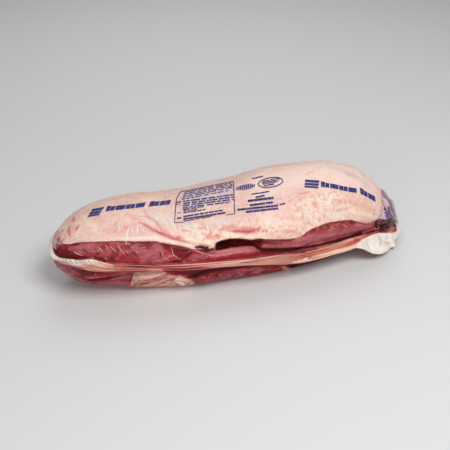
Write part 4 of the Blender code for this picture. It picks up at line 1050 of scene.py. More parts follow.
def flat_angle(bearing):
    low, high = np.zeros_like(bearing), np.full_like(bearing, pi / 2)
    for _ in range(HALVINGS):
        angle = (low + high) / 2
        hanging = belly(bearing, angle)[..., 2] > 0
        low, high = np.where(hanging, low, angle), np.where(hanging, angle, high)
    return low


def lower_levels(bearing, side_count, flat_count):
    """The lower slab's skin, from the seam to the middle of the flat underside."""
    flat = flat_angle(bearing)
    share = 1 - shares(side_count)
    side = belly(bearing, flat + (pi / 2 - flat) * share)
    turn = np.degrees(bearing) % 360
    fold = sum(
        height * swell(turn, middle, half) * swell(share, level, reached)
        for middle, half, height, level, reached in BELLY_FOLDS
    )
    out_x, out_y = outward(bearing)
    side = side + stack(out_x * fold, out_y * fold, 0 * fold)
    return np.concatenate((side, belly(bearing, flat * (1 - shares(flat_count, 1)))))


def closing_levels(bearing, drop):
    """A hidden floor inside the seam, drop below it, from its rim to the middle."""
    share = 1 - shares(CLOSING_LEVELS, 1)
    x, y = outline(bearing)
    return stack(x * share, y * share, along(SEAM_HEIGHT, x * share) - drop)


def fin_section(bearing, fitted=True):
    """The fin's root, its edge's middle and the way across its slope, at each bearing."""
    turn = np.degrees(bearing) % 360
    knots, *fits = np.array(FIN_FIT).T
    moved_out, moved_down, edge_out, edge_down = (
        np.interp(turn, knots, fit) * MILLIMETRE * fitted for fit in fits)
    ear = np.sqrt(swell(turn, EAR_SWELL[0], EAR_SWELL[1]))
    parts = [(swell(turn, s[0], s[1]), s[2:]) for s in FIN_SWELLS] + [(ear, EAR_SWELL[2:])]
    out, down, above = (
        base + sum(share * more[k] for share, more in parts)
        for k, base in enumerate((FIN_OUT, FIN_DOWN, FIN_ABOVE))
    )
    out, down = out + edge_out, down + edge_down
    x, y = outline(bearing)
    out_x, out_y = outward(bearing)
    seam = stack(x, y, along(SEAM_HEIGHT, x))
    seam = seam + stack(out_x * moved_out, out_y * moved_out, -moved_down)
    front = np.sin(bearing) < 0
    depth = FIN_GROOVE_SHARE * GROOVE_DEPTH
    groove = np.where(front, depth * reach(x, GROOVE_REACH), 0.0)
    groove = groove * side_share(bearing)
    root = seam + stack(-out_x * groove, -out_y * groove, above)
    edge = seam + stack(out_x * out, out_y * out, -down)
    length = np.hypot(out, down)
    across = stack(out_x * down / length, out_y * down / length, out / length)
    return root, edge, across, seam, ear


# ---------------------------------------------------------------------------------------
# Meshes

# Columns run round the pack, and levels down it or across the fin.

MEAT_COLUMNS, FILM_COLUMNS, FIN_COLUMNS = 960, 720, 1300
COVER_LEVELS, SIDE_LEVELS, BELLY_LEVELS, FLAT_LEVELS, CLOSING_LEVELS = 60, 32, 50, 5, 4
FILM_COVER, FILM_SIDE, FILM_BELLY, FILM_FLAT = 46, 22, 36, 3
SIDE_PROFILE_STEPS = 160
EVENING = 0.15  # crowds the columns along the front and the back
COVER_SPREAD = 0.85  # below 1, the cover's levels lie closer towards the fat's edge
UPPER_FLOOR, LOWER_FLOOR = 0.0006, 0.0010  # how far below the seam the hidden floors lie
FAT_EDGE_FADE = 4  # levels over which the fat gives way to the lean

# Uneven surfaces: height, size of the features, seed of the noise
UNDULATIONS = ((0.0009, 0.030, 3.1), (0.0004, 0.011, 8.7))
FAT_GRAIN, SIDE_GRAIN, GRAIN_SIZE, GRAIN_SEED = 0.00012, 0.00025, 0.0045, 1.3
BELLY_GRAIN, BELLY_GRAIN_SIZE, BELLY_GRAIN_SEED = 0.00030, 0.006, 5.5


def even_bearings(columns):
    bearing = np.arange(columns) / columns * 2 * pi
    return bearing + EVENING * np.sin(2 * bearing)


def middle_shift():
    """What centres the pack's box over the origin."""
    edge = fin_section(even_bearings(MEAT_COLUMNS), fitted=False)[1]
    low, high = edge[:, :2].min(axis=0), edge[:, :2].max(axis=0)
    return np.array((*(-(low + high) / 2), 0.0))


def skin(levels, band=False):
    """A closed mesh through levels[level, column]; a band also closes from last to first level."""
    rows, columns = levels.shape[:2]
    cells = rows if band else rows - 1
    bm = bmesh.new()
    bmesh.ops.create_grid(bm, x_segments=columns, y_segments=cells, size=0.5)
    level = bm.verts.layers.int.new("level")
    for v in bm.verts:
        row = round((v.co.y + 0.5) * cells) % rows
        column = round((v.co.x + 0.5) * columns) % columns
        v[level] = row
        v.co = levels[row, column] + MIDDLE
    bmesh.ops.remove_doubles(bm, verts=bm.verts, dist=1e-7)
    bmesh.ops.recalc_face_normals(bm, faces=bm.faces)
    return bm


def piece(bm, name):
    mesh = bpy.data.meshes.new(name)
    bm.to_mesh(mesh)
    bm.free()
    mesh.shade_smooth()
    made = bpy.data.objects.new(name, mesh)
    bpy.context.scene.collection.objects.link(made)
    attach(made, "root")
    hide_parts("vacuum_bag")
    return made


def read(values, name, width, kind=float):
    flat = np.empty(len(values) * width, dtype=np.int32 if kind is int else np.float32)
    values.foreach_get(name, flat)
    flat = flat if kind is int else flat.astype(float)
    return flat.reshape(-1, width) if width > 1 else flat


def points_of(made):
    return read(made.data.vertices, "co", 3)


def lift(made, heights, floor=0.0):
    """Moves every point of a piece along its normal, and none below the floor."""
    moved = points_of(made) + read(made.data.vertices, "normal", 3) * heights[:, None]
    moved[:, 2] = np.maximum(moved[:, 2], floor)
    made.data.vertices.foreach_set("co", moved.astype(np.float32).ravel())
    made.data.update()


def levels_of(made):
    return read(made.data.attributes["level"].data, "value", 1, int)


def rough(points, size, seed):
    """Smooth noise from -1 to 1 with features of about this size."""
    shifted = points / size + np.array((seed, 0.0, 0.0))
    return np.array([noise.noise(p) for p in shifted.tolist()])


def undulation(points):
    """The soft unevenness that the film shares with the meat."""
    return sum(height * rough(points, size, seed) for height, size, seed in UNDULATIONS)


def write_mask(made, name, values):
    made.data.attributes.new(name, "FLOAT", "POINT").data.foreach_set(
        "value", values.astype(np.float32))


def upper_cut():
    bearing = even_bearings(MEAT_COLUMNS)
    outer = upper_levels(bearing, COVER_LEVELS, SIDE_LEVELS)
    bm = skin(np.concatenate((outer, closing_levels(bearing, UPPER_FLOOR))))
    made = piece(bm, "upper_cut")
    level, points = levels_of(made), points_of(made)
    outer = level <= COVER_LEVELS + SIDE_LEVELS
    fine = np.where(level <= COVER_LEVELS, FAT_GRAIN, SIDE_GRAIN)
    write_mask(made, "fat", np.clip(0.5 + (COVER_LEVELS + 0.5 - level) / FAT_EDGE_FADE, 0, 1))
    lift(made, outer * (undulation(points) + fine * rough(points, GRAIN_SIZE, GRAIN_SEED)))
    return made


def lower_cut():
    bearing = even_bearings(MEAT_COLUMNS)
    closing = closing_levels(bearing, LOWER_FLOOR)[::-1]
    bm = skin(np.concatenate((closing, lower_levels(bearing, BELLY_LEVELS, FLAT_LEVELS))))
    made = piece(bm, "lower_cut")
    level, points = levels_of(made), points_of(made)
    free = (level > CLOSING_LEVELS) & (level < CLOSING_LEVELS + BELLY_LEVELS)
    write_mask(made, "fat", 0.0 * level)
    grain = BELLY_GRAIN * rough(points, BELLY_GRAIN_SIZE, BELLY_GRAIN_SEED)
    lift(made, free * (undulation(points) + grain), FILM_GAP)
    return made


def bag_film():
    bearing = even_bearings(FILM_COLUMNS)
    upper_part = upper_levels(bearing, FILM_COVER, FILM_SIDE, bridged=0.8)
    bm = skin(np.concatenate((upper_part, lower_levels(bearing, FILM_BELLY, FILM_FLAT)[1:])))
    made = piece(bm, "bag_film")
    free = levels_of(made) < FILM_COVER + FILM_SIDE + FILM_BELLY
    middle, far, height = LOOSE_FILM
    points = points_of(made)
    loose = height * swell(np.linalg.norm(points - middle, axis=1), 0.0, far)
    lift(made, free * (undulation(points) + FILM_GAP + loose))
    return made


FIN_ACROSS, FIN_INNER = 36, 6  # points across the fin's outer and inner face
FIN_WAVES, FIN_WAVE_START, FIN_WAVE_HEIGHT = 2.5, 0.6, 0.00045  # its lengthwise folds
FIN_SWING = 0.5  # how far the folds shift to and fro along the fin
EAR_RIPPLE = 0.0022  # height of the upright folds in the shrunk corner
FIN_TUCK = 0.004  # how far inside the seam the band closes


def seam_fin():
    """The band where the bag's two sides meet, folded lengthwise."""
    bearing = even_bearings(FIN_COLUMNS)
    root, edge, across, seam, ear = fin_section(bearing)
    share = np.linspace(0, 1, FIN_ACROSS)[:, None]
    swing = np.array([noise.noise((b * 1.6, 2.2, 0)) for b in bearing])
    wave = (share * FIN_WAVES + FIN_SWING * swing) * 2 * pi - FIN_WAVE_START
    wave = np.sin(wave) * FIN_WAVE_HEIGHT
    ripple = np.array([[noise.noise((b * 16, s * 2.4, 5.0)) for b in bearing] for s in share[:, 0]])
    wave = (wave * (1 - ear) + ripple * EAR_RIPPLE * ear) * np.sin(share * pi)
    half = FIN_EDGE_THICKNESS / 2
    outer = root + (edge - root) * share[..., None] + across * (half + wave[..., None])
    below = seam - stack(0 * ear, 0 * ear, FIN_BELOW)
    inner_edge = edge - across * half
    inner = inner_edge + (below - inner_edge) * np.linspace(0, 1, FIN_INNER)[:, None, None]
    deep = seam - stack(*outward(bearing), 0 * ear) * FIN_TUCK
    levels = np.concatenate((outer, inner, deep[None]))
    made = piece(skin(levels, band=True), "seam_fin")
    write_mask(made, "across", np.clip(levels_of(made) / (FIN_ACROSS - 1), 0, 1))
    return made


# ---------------------------------------------------------------------------------------
# Placing things by the photo

STROKE_STEP, FIELD_STEP, CREASE_STEP = 2.5, 3.0, 1.2  # pixels from place to place on a line
STROKE_REACH = 2.6  # half widths from its line that a stroke still reaches
STROKE_TIP = 0.16  # the square of the share of its width that a stroke keeps at its ends
FACING_START, FACING_GAIN = 1.3, 5  # fields fade only where a face turns away from the camera
WANDER_SIZE, WANDER_SEEDS = 0.004, (11.0, 23.0, 37.0)  # noise that roughens painted edges
DARK_SHADE, DARK_COVER = 110, 2.2  # colours darker than this cover more fully
KNOB_HEIGHT, KNOB_BASE, KNOB_SIZE, KNOB_SEED = 0.0007, 0.3, 0.0045, 9.4
CREASE_SIDES, CREASE_HEIGHT = 6, 0.00012


def camera_axes():
    back = Vector((
        sin(CAMERA_AZIMUTH) * cos(CAMERA_ELEVATION),
        -cos(CAMERA_AZIMUTH) * cos(CAMERA_ELEVATION),
        sin(CAMERA_ELEVATION),
    ))
    right = Vector((cos(CAMERA_AZIMUTH), sin(CAMERA_AZIMUTH), 0.0))
    return right, back.cross(right), back


def photo_ray(place):
    """The way from the camera through this place in the photo."""
    right, up, back = camera_axes()
    across, down = place
    way = right * (across - IMAGE / 2) - up * (down - IMAGE / 2) - back * FOCAL_PIXELS
    return CAMERA_AIM + back * CAMERA_DISTANCE, way.normalized()


def tree_of(made):
    bm = bmesh.new()
    bm.from_mesh(made.data)
    tree = BVHTree.FromBMesh(bm)
    bm.free()
    return tree


def on_tree(tree, place):
    """The point and normal of the surface that shows at this place in the photo.

    Where the way misses the surface, it is the one nearest to that way at the pack's middle.
    """
    start, way = photo_ray(place)
    point, normal, _, _ = tree.ray_cast(start, way)
    if point is None:
        point, normal, _, _ = tree.find_nearest(start + way * CAMERA_DISTANCE)
    return point, normal


def smooth_line(numbers, step):
    """Places about step pixels apart on a smooth line through the given places."""
    knots = np.reshape(numbers, (-1, 2)).astype(float)
    if len(knots) < 3:
        count = max(2, ceil(np.linalg.norm(knots[-1] - knots[0]) / step) + 1)
        return knots[0] + (knots[-1] - knots[0]) * np.linspace(0, 1, count)[:, None]
    padded = np.concatenate(([2 * knots[0] - knots[1]], knots, [2 * knots[-1] - knots[-2]]))
    line = []
    for k in range(len(knots) - 1):
        a, b, c, d = padded[k:k + 4]
        count = max(1, ceil(np.linalg.norm(c - b) / step))
        line += [spline(a, b, c, d, t) for t in np.arange(count) / count]
    return np.array(line + [knots[-1]])


def linear(shade):
    return ((np.asarray(shade) / 255 + 0.055) / 1.055) ** 2.4


def colour(red, green, blue):
    """A colour as it looks on screen, 0 to 255, as the linear one that a shader takes."""
    return (*linear((red, green, blue)).tolist(), 1.0)


def stroke_share(points, line, half):
    """How strongly a stroke along this line reaches each point: its ends are thinner."""
    long = len(line) - 1
    best = np.full(len(points), np.inf)
    for k in range(long):
        run = line[k + 1] - line[k]
        t = np.clip((points - line[k]) @ run / max(run @ run, 1e-12), 0, 1)
        away = np.linalg.norm(points - (line[k] + t[:, None] * run), axis=1)
        taper = np.sqrt(np.clip(np.sin((k + t) / long * pi), STROKE_TIP, 1)) if long > 2 else 1.0
        best = np.minimum(best, away / (half * taper))
    return np.exp(-(best**2))


def photo_places(points):
    """Where points show in the photo, across and down in pixels."""
    right, up, back = (np.array(axis) for axis in camera_axes())
    away = points - np.array(CAMERA_AIM) - back * CAMERA_DISTANCE
    scale = FOCAL_PIXELS / -(away @ back)
    return np.stack((IMAGE / 2 + away @ right * scale, IMAGE / 2 - away @ up * scale), axis=1)


def facing_camera(made):
    way = np.array(CAMERA_AIM + camera_axes()[2] * CAMERA_DISTANCE) - points_of(made)
    way = way / np.linalg.norm(way, axis=1)[:, None]
    facing = (way * read(made.data.vertices, "normal", 3)).sum(axis=1)
    return ease(FACING_START + FACING_GAIN * facing)


def field_share(places, numbers, soft):
    """How fully each place lies inside a closed outline, fading over its soft edge."""
    corners = smooth_line((*numbers, *numbers[:2]), FIELD_STEP)
    inside, nearest = np.zeros(len(places), bool), np.full(len(places), np.inf)
    for a, b in zip(corners[:-1], corners[1:]):
        run = b - a
        t = np.clip((places - a) @ run / max(run @ run, 1e-12), 0, 1)
        nearest = np.minimum(nearest, np.linalg.norm(places - (a + t[:, None] * run), axis=1))
        if a[1] != b[1]:
            level = (a[1] > places[:, 1]) != (b[1] > places[:, 1])
            inside ^= level & (places[:, 0] < a[0] + (places[:, 1] - a[1]) / run[1] * run[0])
    return ease(0.5 + np.where(inside, nearest, -nearest) / (2 * soft))


def dress(made, marks, fields=(), wander=0.5, knobs=()):
    """Paints fields and marks on a piece as attributes, and raises or sinks it under them."""
    tree = tree_of(made)
    points = points_of(made)
    warp = np.stack([rough(points, WANDER_SIZE, seed) for seed in WANDER_SEEDS], axis=1)
    warp = points + warp * PIXEL * wander
    tint, shown = np.zeros((len(points), 3)), np.zeros(len(points))
    height = np.zeros(len(points))

    def paint(where, name, share, strength, raised):
        shade = np.array(PALETTE[name], dtype=float)
        cover = DARK_COVER if shade.mean() < DARK_SHADE else 1.0
        a = (1 - (1 - share * strength) ** cover)[:, None]
        tint[where] = tint[where] * (1 - a) + shade * a
        shown[where] = shown[where] * (1 - a[:, 0]) + a[:, 0]
        height[where] += share * raised * MILLIMETRE

    seen, facing = photo_places(warp), facing_camera(made)
    knobbly = np.zeros(len(points))
    for strength, soft, *numbers in knobs:
        knobbly = np.maximum(knobbly, strength * field_share(seen, numbers, soft) * facing)
    if knobs:
        write_mask(made, "knobs", knobbly)
        bumps = KNOB_BASE + rough(points, KNOB_SIZE, KNOB_SEED)
        height += knobbly * KNOB_HEIGHT * bumps
    for name, strength, soft, raised, *numbers in fields:
        low, high = (pick(np.reshape(numbers, (-1, 2)), axis=0) for pick in (np.min, np.max))
        box = np.all((seen > low - soft) & (seen < high + soft), axis=1)
        where = np.nonzero(box & (facing > 0))[0]
        share = field_share(seen[where], numbers, soft) * facing[where]
        paint(where, name, share, strength, raised)
    for name, strength, half, raised, *places in marks:
        line = np.array([on_tree(tree, p)[0] for p in smooth_line(places, STROKE_STEP)])
        near = half * PIXEL * STROKE_REACH
        box = np.all((warp > line.min(0) - near) & (warp < line.max(0) + near), axis=1)
        where = np.nonzero(box)[0]
        paint(where, name, stroke_share(warp[where], line, half * PIXEL), strength, raised)
    tint = linear(tint / np.maximum(shown, 1e-6)[:, None])
    layer = made.data.attributes.new("paint", "FLOAT_COLOR", "POINT")
    rgba = np.concatenate((tint, np.ones((len(points), 1))), axis=1)
    layer.data.foreach_set("color", rgba.astype(np.float32).ravel())
    write_mask(made, "painted", shown)
    lift(made, height)


def crease_lines(tree):
    """Slender closed ridges along the film's creases, coloured as painted highlights where they catch
    the light.
    """
    bm = bmesh.new()
    tint = bm.verts.layers.float_color.new("paint")
    for name, half, *places in CREASE_HIGHLIGHTS:
        line = smooth_line(places, CREASE_STEP)
        spots = [on_tree(tree, p) for p in line]
        rows = len(spots) - 1
        before = set(bm.verts)
        bmesh.ops.create_uvsphere(
            bm, u_segments=CREASE_SIDES, v_segments=max(rows, 3), radius=1.0)
        for v in set(bm.verts) - before:
            share = float(np.arccos(max(-1.0, min(1.0, v.co.z)))) / pi * rows
            k = min(int(share), rows - 1)
            t = share - k
            point = spots[k][0].lerp(spots[k + 1][0], t)
            normal = spots[k][1].lerp(spots[k + 1][1], t).normalized()
            side = (spots[k + 1][0] - spots[k][0]).normalized().cross(normal)
            v.co = point + side * v.co.x * half * PIXEL + normal * v.co.y * CREASE_HEIGHT
            v[tint] = colour(*PALETTE[name])
    bmesh.ops.recalc_face_normals(bm, faces=bm.faces)
    return piece(bm, "film_creases")


# ---------------------------------------------------------------------------------------
# Print

INK_LIFT, INK_THICKNESS = 0.00016, 0.00008
BLOCK_WIDTHS = (0.92, 0.84, 0.95, 0.88)  # share of a block's place that it fills
BLOCK_STEP = 0.5  # pixels
BLOCK_TOP = 0.7  # how high the blocks after the first rise, as a share of it
RULE_STEP, RULE_OVERLAP = 2.0, 0.04  # pixels, and share of a step that patches overlap
WORD_SHORTEST, WORD_SPREAD, WORD_GAP, WORD_SCRAP = 2.2, 4.5, 0.35, 0.5  # dashes, in pixels
OVAL_POINTS = 25
STAMP_BARS, STAMP_BAR_HALF, STAMP_BAR_LEAN, STAMP_BAR_SHARE = 10, 0.62, 0.25, 0.9


def patch(bm, tree, corners, cells=(1, 1)):
    """A patch of ink between four places in the photo, clockwise from the top left."""
    a, b, c, d = (np.array(corners[k:k + 2], dtype=float) for k in (0, 2, 4, 6))
    before = set(bm.verts)
    bmesh.ops.create_grid(bm, x_segments=cells[0], y_segments=cells[1], size=0.5)
    for v in set(bm.verts) - before:
        s, t = v.co.x + 0.5, v.co.y + 0.5
        place = (d * (1 - s) + c * s) * (1 - t) + (a * (1 - s) + b * s) * t
        point, normal = on_tree(tree, place)
        v.co = point + normal * INK_LIFT


def ribbon(bm, tree, half, places, closed=False):
    """A thin printed rule along a line of places."""
    line = smooth_line(places, RULE_STEP)
    if closed:
        line = line[:-1]
    count = len(line)
    for k in range(count if closed else count - 1):
        start, end = line[k], line[(k + 1) % count]
        run = end - start
        side = np.array((-run[1], run[0])) / hypot(*run) * half
        start, end = start - run * RULE_OVERLAP, end + run * RULE_OVERLAP
        patch(bm, tree, (*(start - side), *(end - side), *(end + side), *(start + side)))


def word_row(bm, tree, height, inked, x0, y0, x1, y1, seed):
    """A line of small print as short dashes of unequal length."""
    run = np.array((x1 - x0, y1 - y0))
    length = hypot(*run)
    run = run / length
    up = np.array((run[1], -run[0])) * height / 2
    place, k = 0.0, 0
    while place < length - WORD_SCRAP:
        chance = noise.cell((seed * 3.7 + k * 1.13, 0.5, 0.5))
        word = min(WORD_SHORTEST + WORD_SPREAD * chance, length - place)
        a, b = np.array((x0, y0)) + run * place, np.array((x0, y0)) + run * (place + word)
        patch(bm, tree, (*(a + up), *(b + up), *(b - up), *(a - up)), (2, 1))
        place += word + max(WORD_GAP, word * (1 - inked))
        k += 1


def film_print(tree):
    bm = bmesh.new()
    for places, height, slant, count in BLOCK_LINES:
        line = smooth_line(places, BLOCK_STEP)
        for k in range(count):
            a = line[int(k / count * (len(line) - 1))]
            b = line[int((k + BLOCK_WIDTHS[k % 4]) / count * (len(line) - 1))]
            foot = np.array((-slant / 2, height / 2))
            top = -foot * (1.0 if k == 0 else BLOCK_TOP)
            patch(bm, tree, (*(a + top), *(b + top), *(b + foot), *(a + foot)), (2, 2))
    for bar in MARK_BARS:
        patch(bm, tree, bar, (4, 2))
    for half, *places in BOX_LINES:
        ribbon(bm, tree, half, places)
    for seed, row in enumerate(PRINT_ROWS):
        word_row(bm, tree, *row, seed)
    for x, y, long, high, tilt, half in OVALS:
        t = np.linspace(0, 2 * pi, OVAL_POINTS)
        c, s = cos(radians(-tilt)), sin(radians(-tilt))
        ring = np.stack((x + long * np.cos(t) * c - high * np.sin(t) * s,
                         y + long * np.cos(t) * s + high * np.sin(t) * c), axis=1)
        ribbon(bm, tree, half, ring.ravel(), closed=True)
    x, y, long, high, tilt = STAMP
    c, s = cos(radians(-tilt)), sin(radians(-tilt))
    for k in range(STAMP_BARS):
        u = (k + 0.5) / STAMP_BARS * 2 - 1
        tall = high * (1 - u * u) ** 0.5 * STAMP_BAR_SHARE
        middle = np.array((x + long * u * c, y + long * u * s))
        side = np.array((STAMP_BAR_HALF * c, STAMP_BAR_HALF * s))
        up = np.array((STAMP_BAR_LEAN, -tall))
        corners = (middle - side + up, middle + side + up, middle + side - up, middle - side - up)
        patch(bm, tree, np.concatenate(corners), (1, 2))
    made = piece(bm, "film_print")
    thickness = made.modifiers.new("ink thickness", "SOLIDIFY")
    thickness.thickness = INK_THICKNESS
    thickness.offset = 0.0
    return made


# ---------------------------------------------------------------------------------------
# Materials

RED, BLUE = 0, 2  # channels of a colour


class Finish:
    """A material and the few kinds of node that these finishes are made from."""

    def __init__(self, name):
        self.material = bpy.data.materials.new(name)
        self.material.use_nodes = True
        self.tree = self.material.node_tree
        self.shader = self.tree.nodes["Principled BSDF"]
        self.place = self.tree.nodes.new("ShaderNodeTexCoord").outputs["Object"]

    def node(self, kind, inputs, output=0, **settings):
        made = self.tree.nodes.new(kind)
        for key, value in settings.items():
            setattr(made, key, value)
        for key, value in inputs.items():
            if isinstance(value, bpy.types.NodeSocket):
                self.tree.links.new(value, made.inputs[key])
            else:
                made.inputs[key].default_value = value
        return made.outputs[output]

    def stretched(self, scale):
        return self.node("ShaderNodeMapping", {"Vector": self.place, "Scale": scale})

    def noise(self, size, detail=3.0, vector=None, distortion=0.0):
        """Noise from 0 to 1 with features of about size metres."""
        inputs = {"Vector": vector or self.place, "Scale": 1 / size, "Detail": detail,
                  "Distortion": distortion}
        return self.node("ShaderNodeTexNoise", inputs)

    def mask(self, name, output="Fac"):
        return self.node("ShaderNodeAttribute", {}, output, attribute_name=name)

    def span(self, value, low, high, to_low=0.0, to_high=1.0):
        inputs = {"Value": value, "From Min": low, "From Max": high,
                  "To Min": to_low, "To Max": to_high}
        return self.node("ShaderNodeMapRange", inputs)

    def mix(self, factor, a, b):
        inputs = {0: factor, 6: a, 7: b}
        return self.node("ShaderNodeMix", inputs, 2, data_type="RGBA")

    def channel(self, base, index):
        return self.node("ShaderNodeSeparateColor", {0: base}, index)

    def maths(self, operation, a, b):
        return self.node("ShaderNodeMath", {0: a, 1: b}, operation=operation)

    def bump(self, height, distance, strength):
        inputs = {"Height": height, "Distance": distance, "Strength": strength}
        return self.node("ShaderNodeBump", inputs)

    def set(self, **inputs):
        for key, value in inputs.items():
            socket = self.shader.inputs[key.replace("_", " ").title().replace("Ior", "IOR")]
            if isinstance(value, bpy.types.NodeSocket):
                self.tree.links.new(value, socket)
            else:
                socket.default_value = value


def beef():
    """Fat and lean in one finish, told apart by the mask called fat."""
    f = Finish("beef")
    broad = f.noise(0.055, 2.0)
    middling = f.noise(0.012, 3.0)
    fine = f.noise(0.0030, 3.0)
    fat = f.mix(f.span(broad, 0.35, 0.65), colour(232, 190, 178), colour(241, 208, 193))
    fat = f.mix(f.span(middling, 0.42, 0.70, 0, 0.65), fat, colour(222, 172, 164))
    fat = f.mix(f.span(fine, 0.45, 0.70, 0, 0.50), fat, colour(248, 226, 212))
    fat = f.mix(f.span(fine, 0.50, 0.28, 0, 0.40), fat, colour(222, 176, 164))
    flecks = f.noise(0.0045, 1.0, f.stretched((1.0, 1.6, 1.6)))
    fat = f.mix(f.span(flecks, 0.66, 0.74, 0, 0.6), fat, colour(200, 132, 124))

    grain = f.noise(0.0035, 4.0, f.stretched((0.22, 1.0, 1.0)), 0.6)
    lean = f.mix(f.span(grain, 0.3, 0.7), colour(140, 52, 58), colour(182, 86, 90))
    lean = f.mix(f.span(middling, 0.45, 0.75, 0, 0.6), lean, colour(198, 104, 110))
    is_fat = f.maths("ADD", f.mask("fat"), f.span(fine, 0, 1, -0.2, 0.2))
    base = f.mix(f.span(is_fat, 0.42, 0.58), lean, fat)
    knob_noise = f.noise(0.0042, 2.0, distortion=0.8)
    knob = f.mix(f.span(knob_noise, 0.36, 0.60), colour(229, 176, 160), colour(247, 226, 206))
    knob = f.mix(f.span(f.noise(0.0050, 3.0), 0.55, 0.68, 0, 0.62), knob, colour(206, 98, 92))
    base = f.mix(f.maths("MULTIPLY", f.mask("knobs"), 0.9), base, knob)
    worn = f.maths("MULTIPLY", f.mask("painted"), f.span(fine, 0.3, 0.7, 1.0, 0.98))
    base = f.mix(worn, base, f.mask("paint", "Color"))
    not_fat = f.maths("SUBTRACT", 1.0, f.mask("fat"))
    mottle = f.noise(0.0042, 5.0, f.stretched((0.5, 1.0, 1.0)), 0.8)
    dark = f.maths("MULTIPLY", f.span(mottle, 0.46, 0.34, 0, 0.36), not_fat)
    base = f.mix(dark, base, colour(88, 10, 16))
    lit = f.maths("MULTIPLY", f.span(f.channel(base, RED), 0.14, 0.30), not_fat)
    pale = f.maths("MULTIPLY", f.span(mottle, 0.54, 0.70, 0, 0.36), lit)
    base = f.mix(pale, base, colour(216, 132, 132))
    relief = f.bump(f.noise(0.0026, 4.0), 0.0006, 0.8)
    creases = f.bump(f.noise(0.0060, 3.0, f.stretched((1.0, 1.0, 0.5)), 1.5), 0.0008, 0.5)
    f.set(base_color=base, roughness=f.span(fine, 0.2, 0.8, 0.40, 0.58), normal=relief)
    f.set(subsurface_weight=0.05, subsurface_scale=0.002, subsurface_radius=(1.0, 0.35, 0.25))
    f.set(specular_ior_level=0.08, coat_weight=0.15, coat_roughness=0.10, coat_normal=creases)
    return f.material


def see_through(f, share):
    """Lets the light pass, except for this share of it."""
    clear = f.node("ShaderNodeBsdfTransparent", {})
    mixed = f.node("ShaderNodeMixShader", {0: share, 1: clear, 2: f.shader.outputs[0]})
    f.tree.links.new(mixed, f.tree.nodes["Material Output"].inputs["Surface"])


def clear_film():
    f = Finish("clear_film")
    facing = f.node("ShaderNodeLayerWeight", {"Blend": 0.25}, "Facing")
    # Whitish where the film is seen at a grazing angle: a painted sheen standing in for the film's
    # reflection there
    rim = f.span(facing, 0.55, 1.0, 0.0, 0.40)
    base = f.mix(f.maths("MINIMUM", f.maths("MULTIPLY", f.mask("painted"), 3.0), 1.0),
                 colour(246, 238, 238), f.mask("paint", "Color"))
    f.set(base_color=base, roughness=0.2)
    f.set(normal=f.bump(f.noise(0.0050, 3.0, distortion=1.0), 0.0006, 0.5))
    see_through(f, f.maths("MAXIMUM", f.mask("painted"), rim))
    return f.material


def crease_highlight_film():
    f = Finish("crease_highlight_film")
    # The creases' colours are painted highlights.
    f.set(base_color=f.mask("paint", "Color"), roughness=0.25)
    see_through(f, f.span(f.noise(0.004, 2.0), 0.3, 0.7, 0.65, 1.0))
    return f.material


def ink():
    f = Finish("ink")
    worn = f.span(f.noise(0.0025, 2.0), 0.35, 0.7)
    f.set(base_color=f.mix(worn, colour(*INK), colour(*WORN_INK)), roughness=0.45)
    return f.material


def folded_film():
    """The fin: shrunk film with meat juice caught in its folds."""
    f = Finish("folded_film")
    x, y = (f.node("ShaderNodeSeparateXYZ", {0: f.place}, k) for k in (0, 1))
    strands = f.node("ShaderNodeCombineXYZ", {
        0: f.maths("MULTIPLY", x, 14.0),
        1: f.maths("MULTIPLY", y, 14.0),
        2: f.maths("MULTIPLY", f.mask("across"), 5.0),
    })
    streak = f.noise(1.0, 4.0, strands, 0.4)
    film = f.mix(f.span(streak, 0.3, 0.7), colour(150, 66, 62), colour(222, 166, 150))
    base = f.mix(f.mask("painted"), film, f.mask("paint", "Color"))
    blueness = f.channel(base, BLUE)
    threads = f.noise(1.0, 3.0, f.node("ShaderNodeCombineXYZ", {
        0: f.maths("MULTIPLY", x, 24.0),
        1: f.maths("MULTIPLY", y, 24.0),
        2: f.maths("MULTIPLY", f.mask("across"), 16.0),
    }))
    juicy = f.span(blueness, 0.30, 0.56, 1.0, 0.0)  # juice is where little blue is left
    dark = f.maths("MULTIPLY", f.span(threads, 0.50, 0.34, 0, 0.45), juicy)
    base = f.mix(dark, base, colour(132, 44, 38))
    lit = f.maths("MULTIPLY", f.span(f.channel(base, RED), 0.20, 0.40), juicy)
    pale = f.maths("MULTIPLY", f.span(threads, 0.52, 0.68, 0, 0.40), lit)
    base = f.mix(pale, base, colour(240, 204, 184))
    f.set(specular_ior_level=0.25)
    f.set(base_color=base, roughness=0.34, coat_weight=0.25, coat_roughness=0.12)
    f.set(subsurface_weight=0.06, subsurface_scale=0.002)
    f.set(normal=f.bump(streak, 0.0006, 0.5))
    return f.material


# ---------------------------------------------------------------------------------------
# Studio

FLOOR_REACH = 3.0
AMBIENT = 0.24
LIGHTS = (  # name, place, size, watts
    ("key", (0.25, -0.75, 1.20), 0.7, 12.5),
    ("fill", (-0.7, -1.1, 0.45), 0.8, 4.5),
    ("back", (0.2, 0.9, 1.1), 0.8, 4.5),
)
LIGHTS_AIM = (0, 0, 0.04)


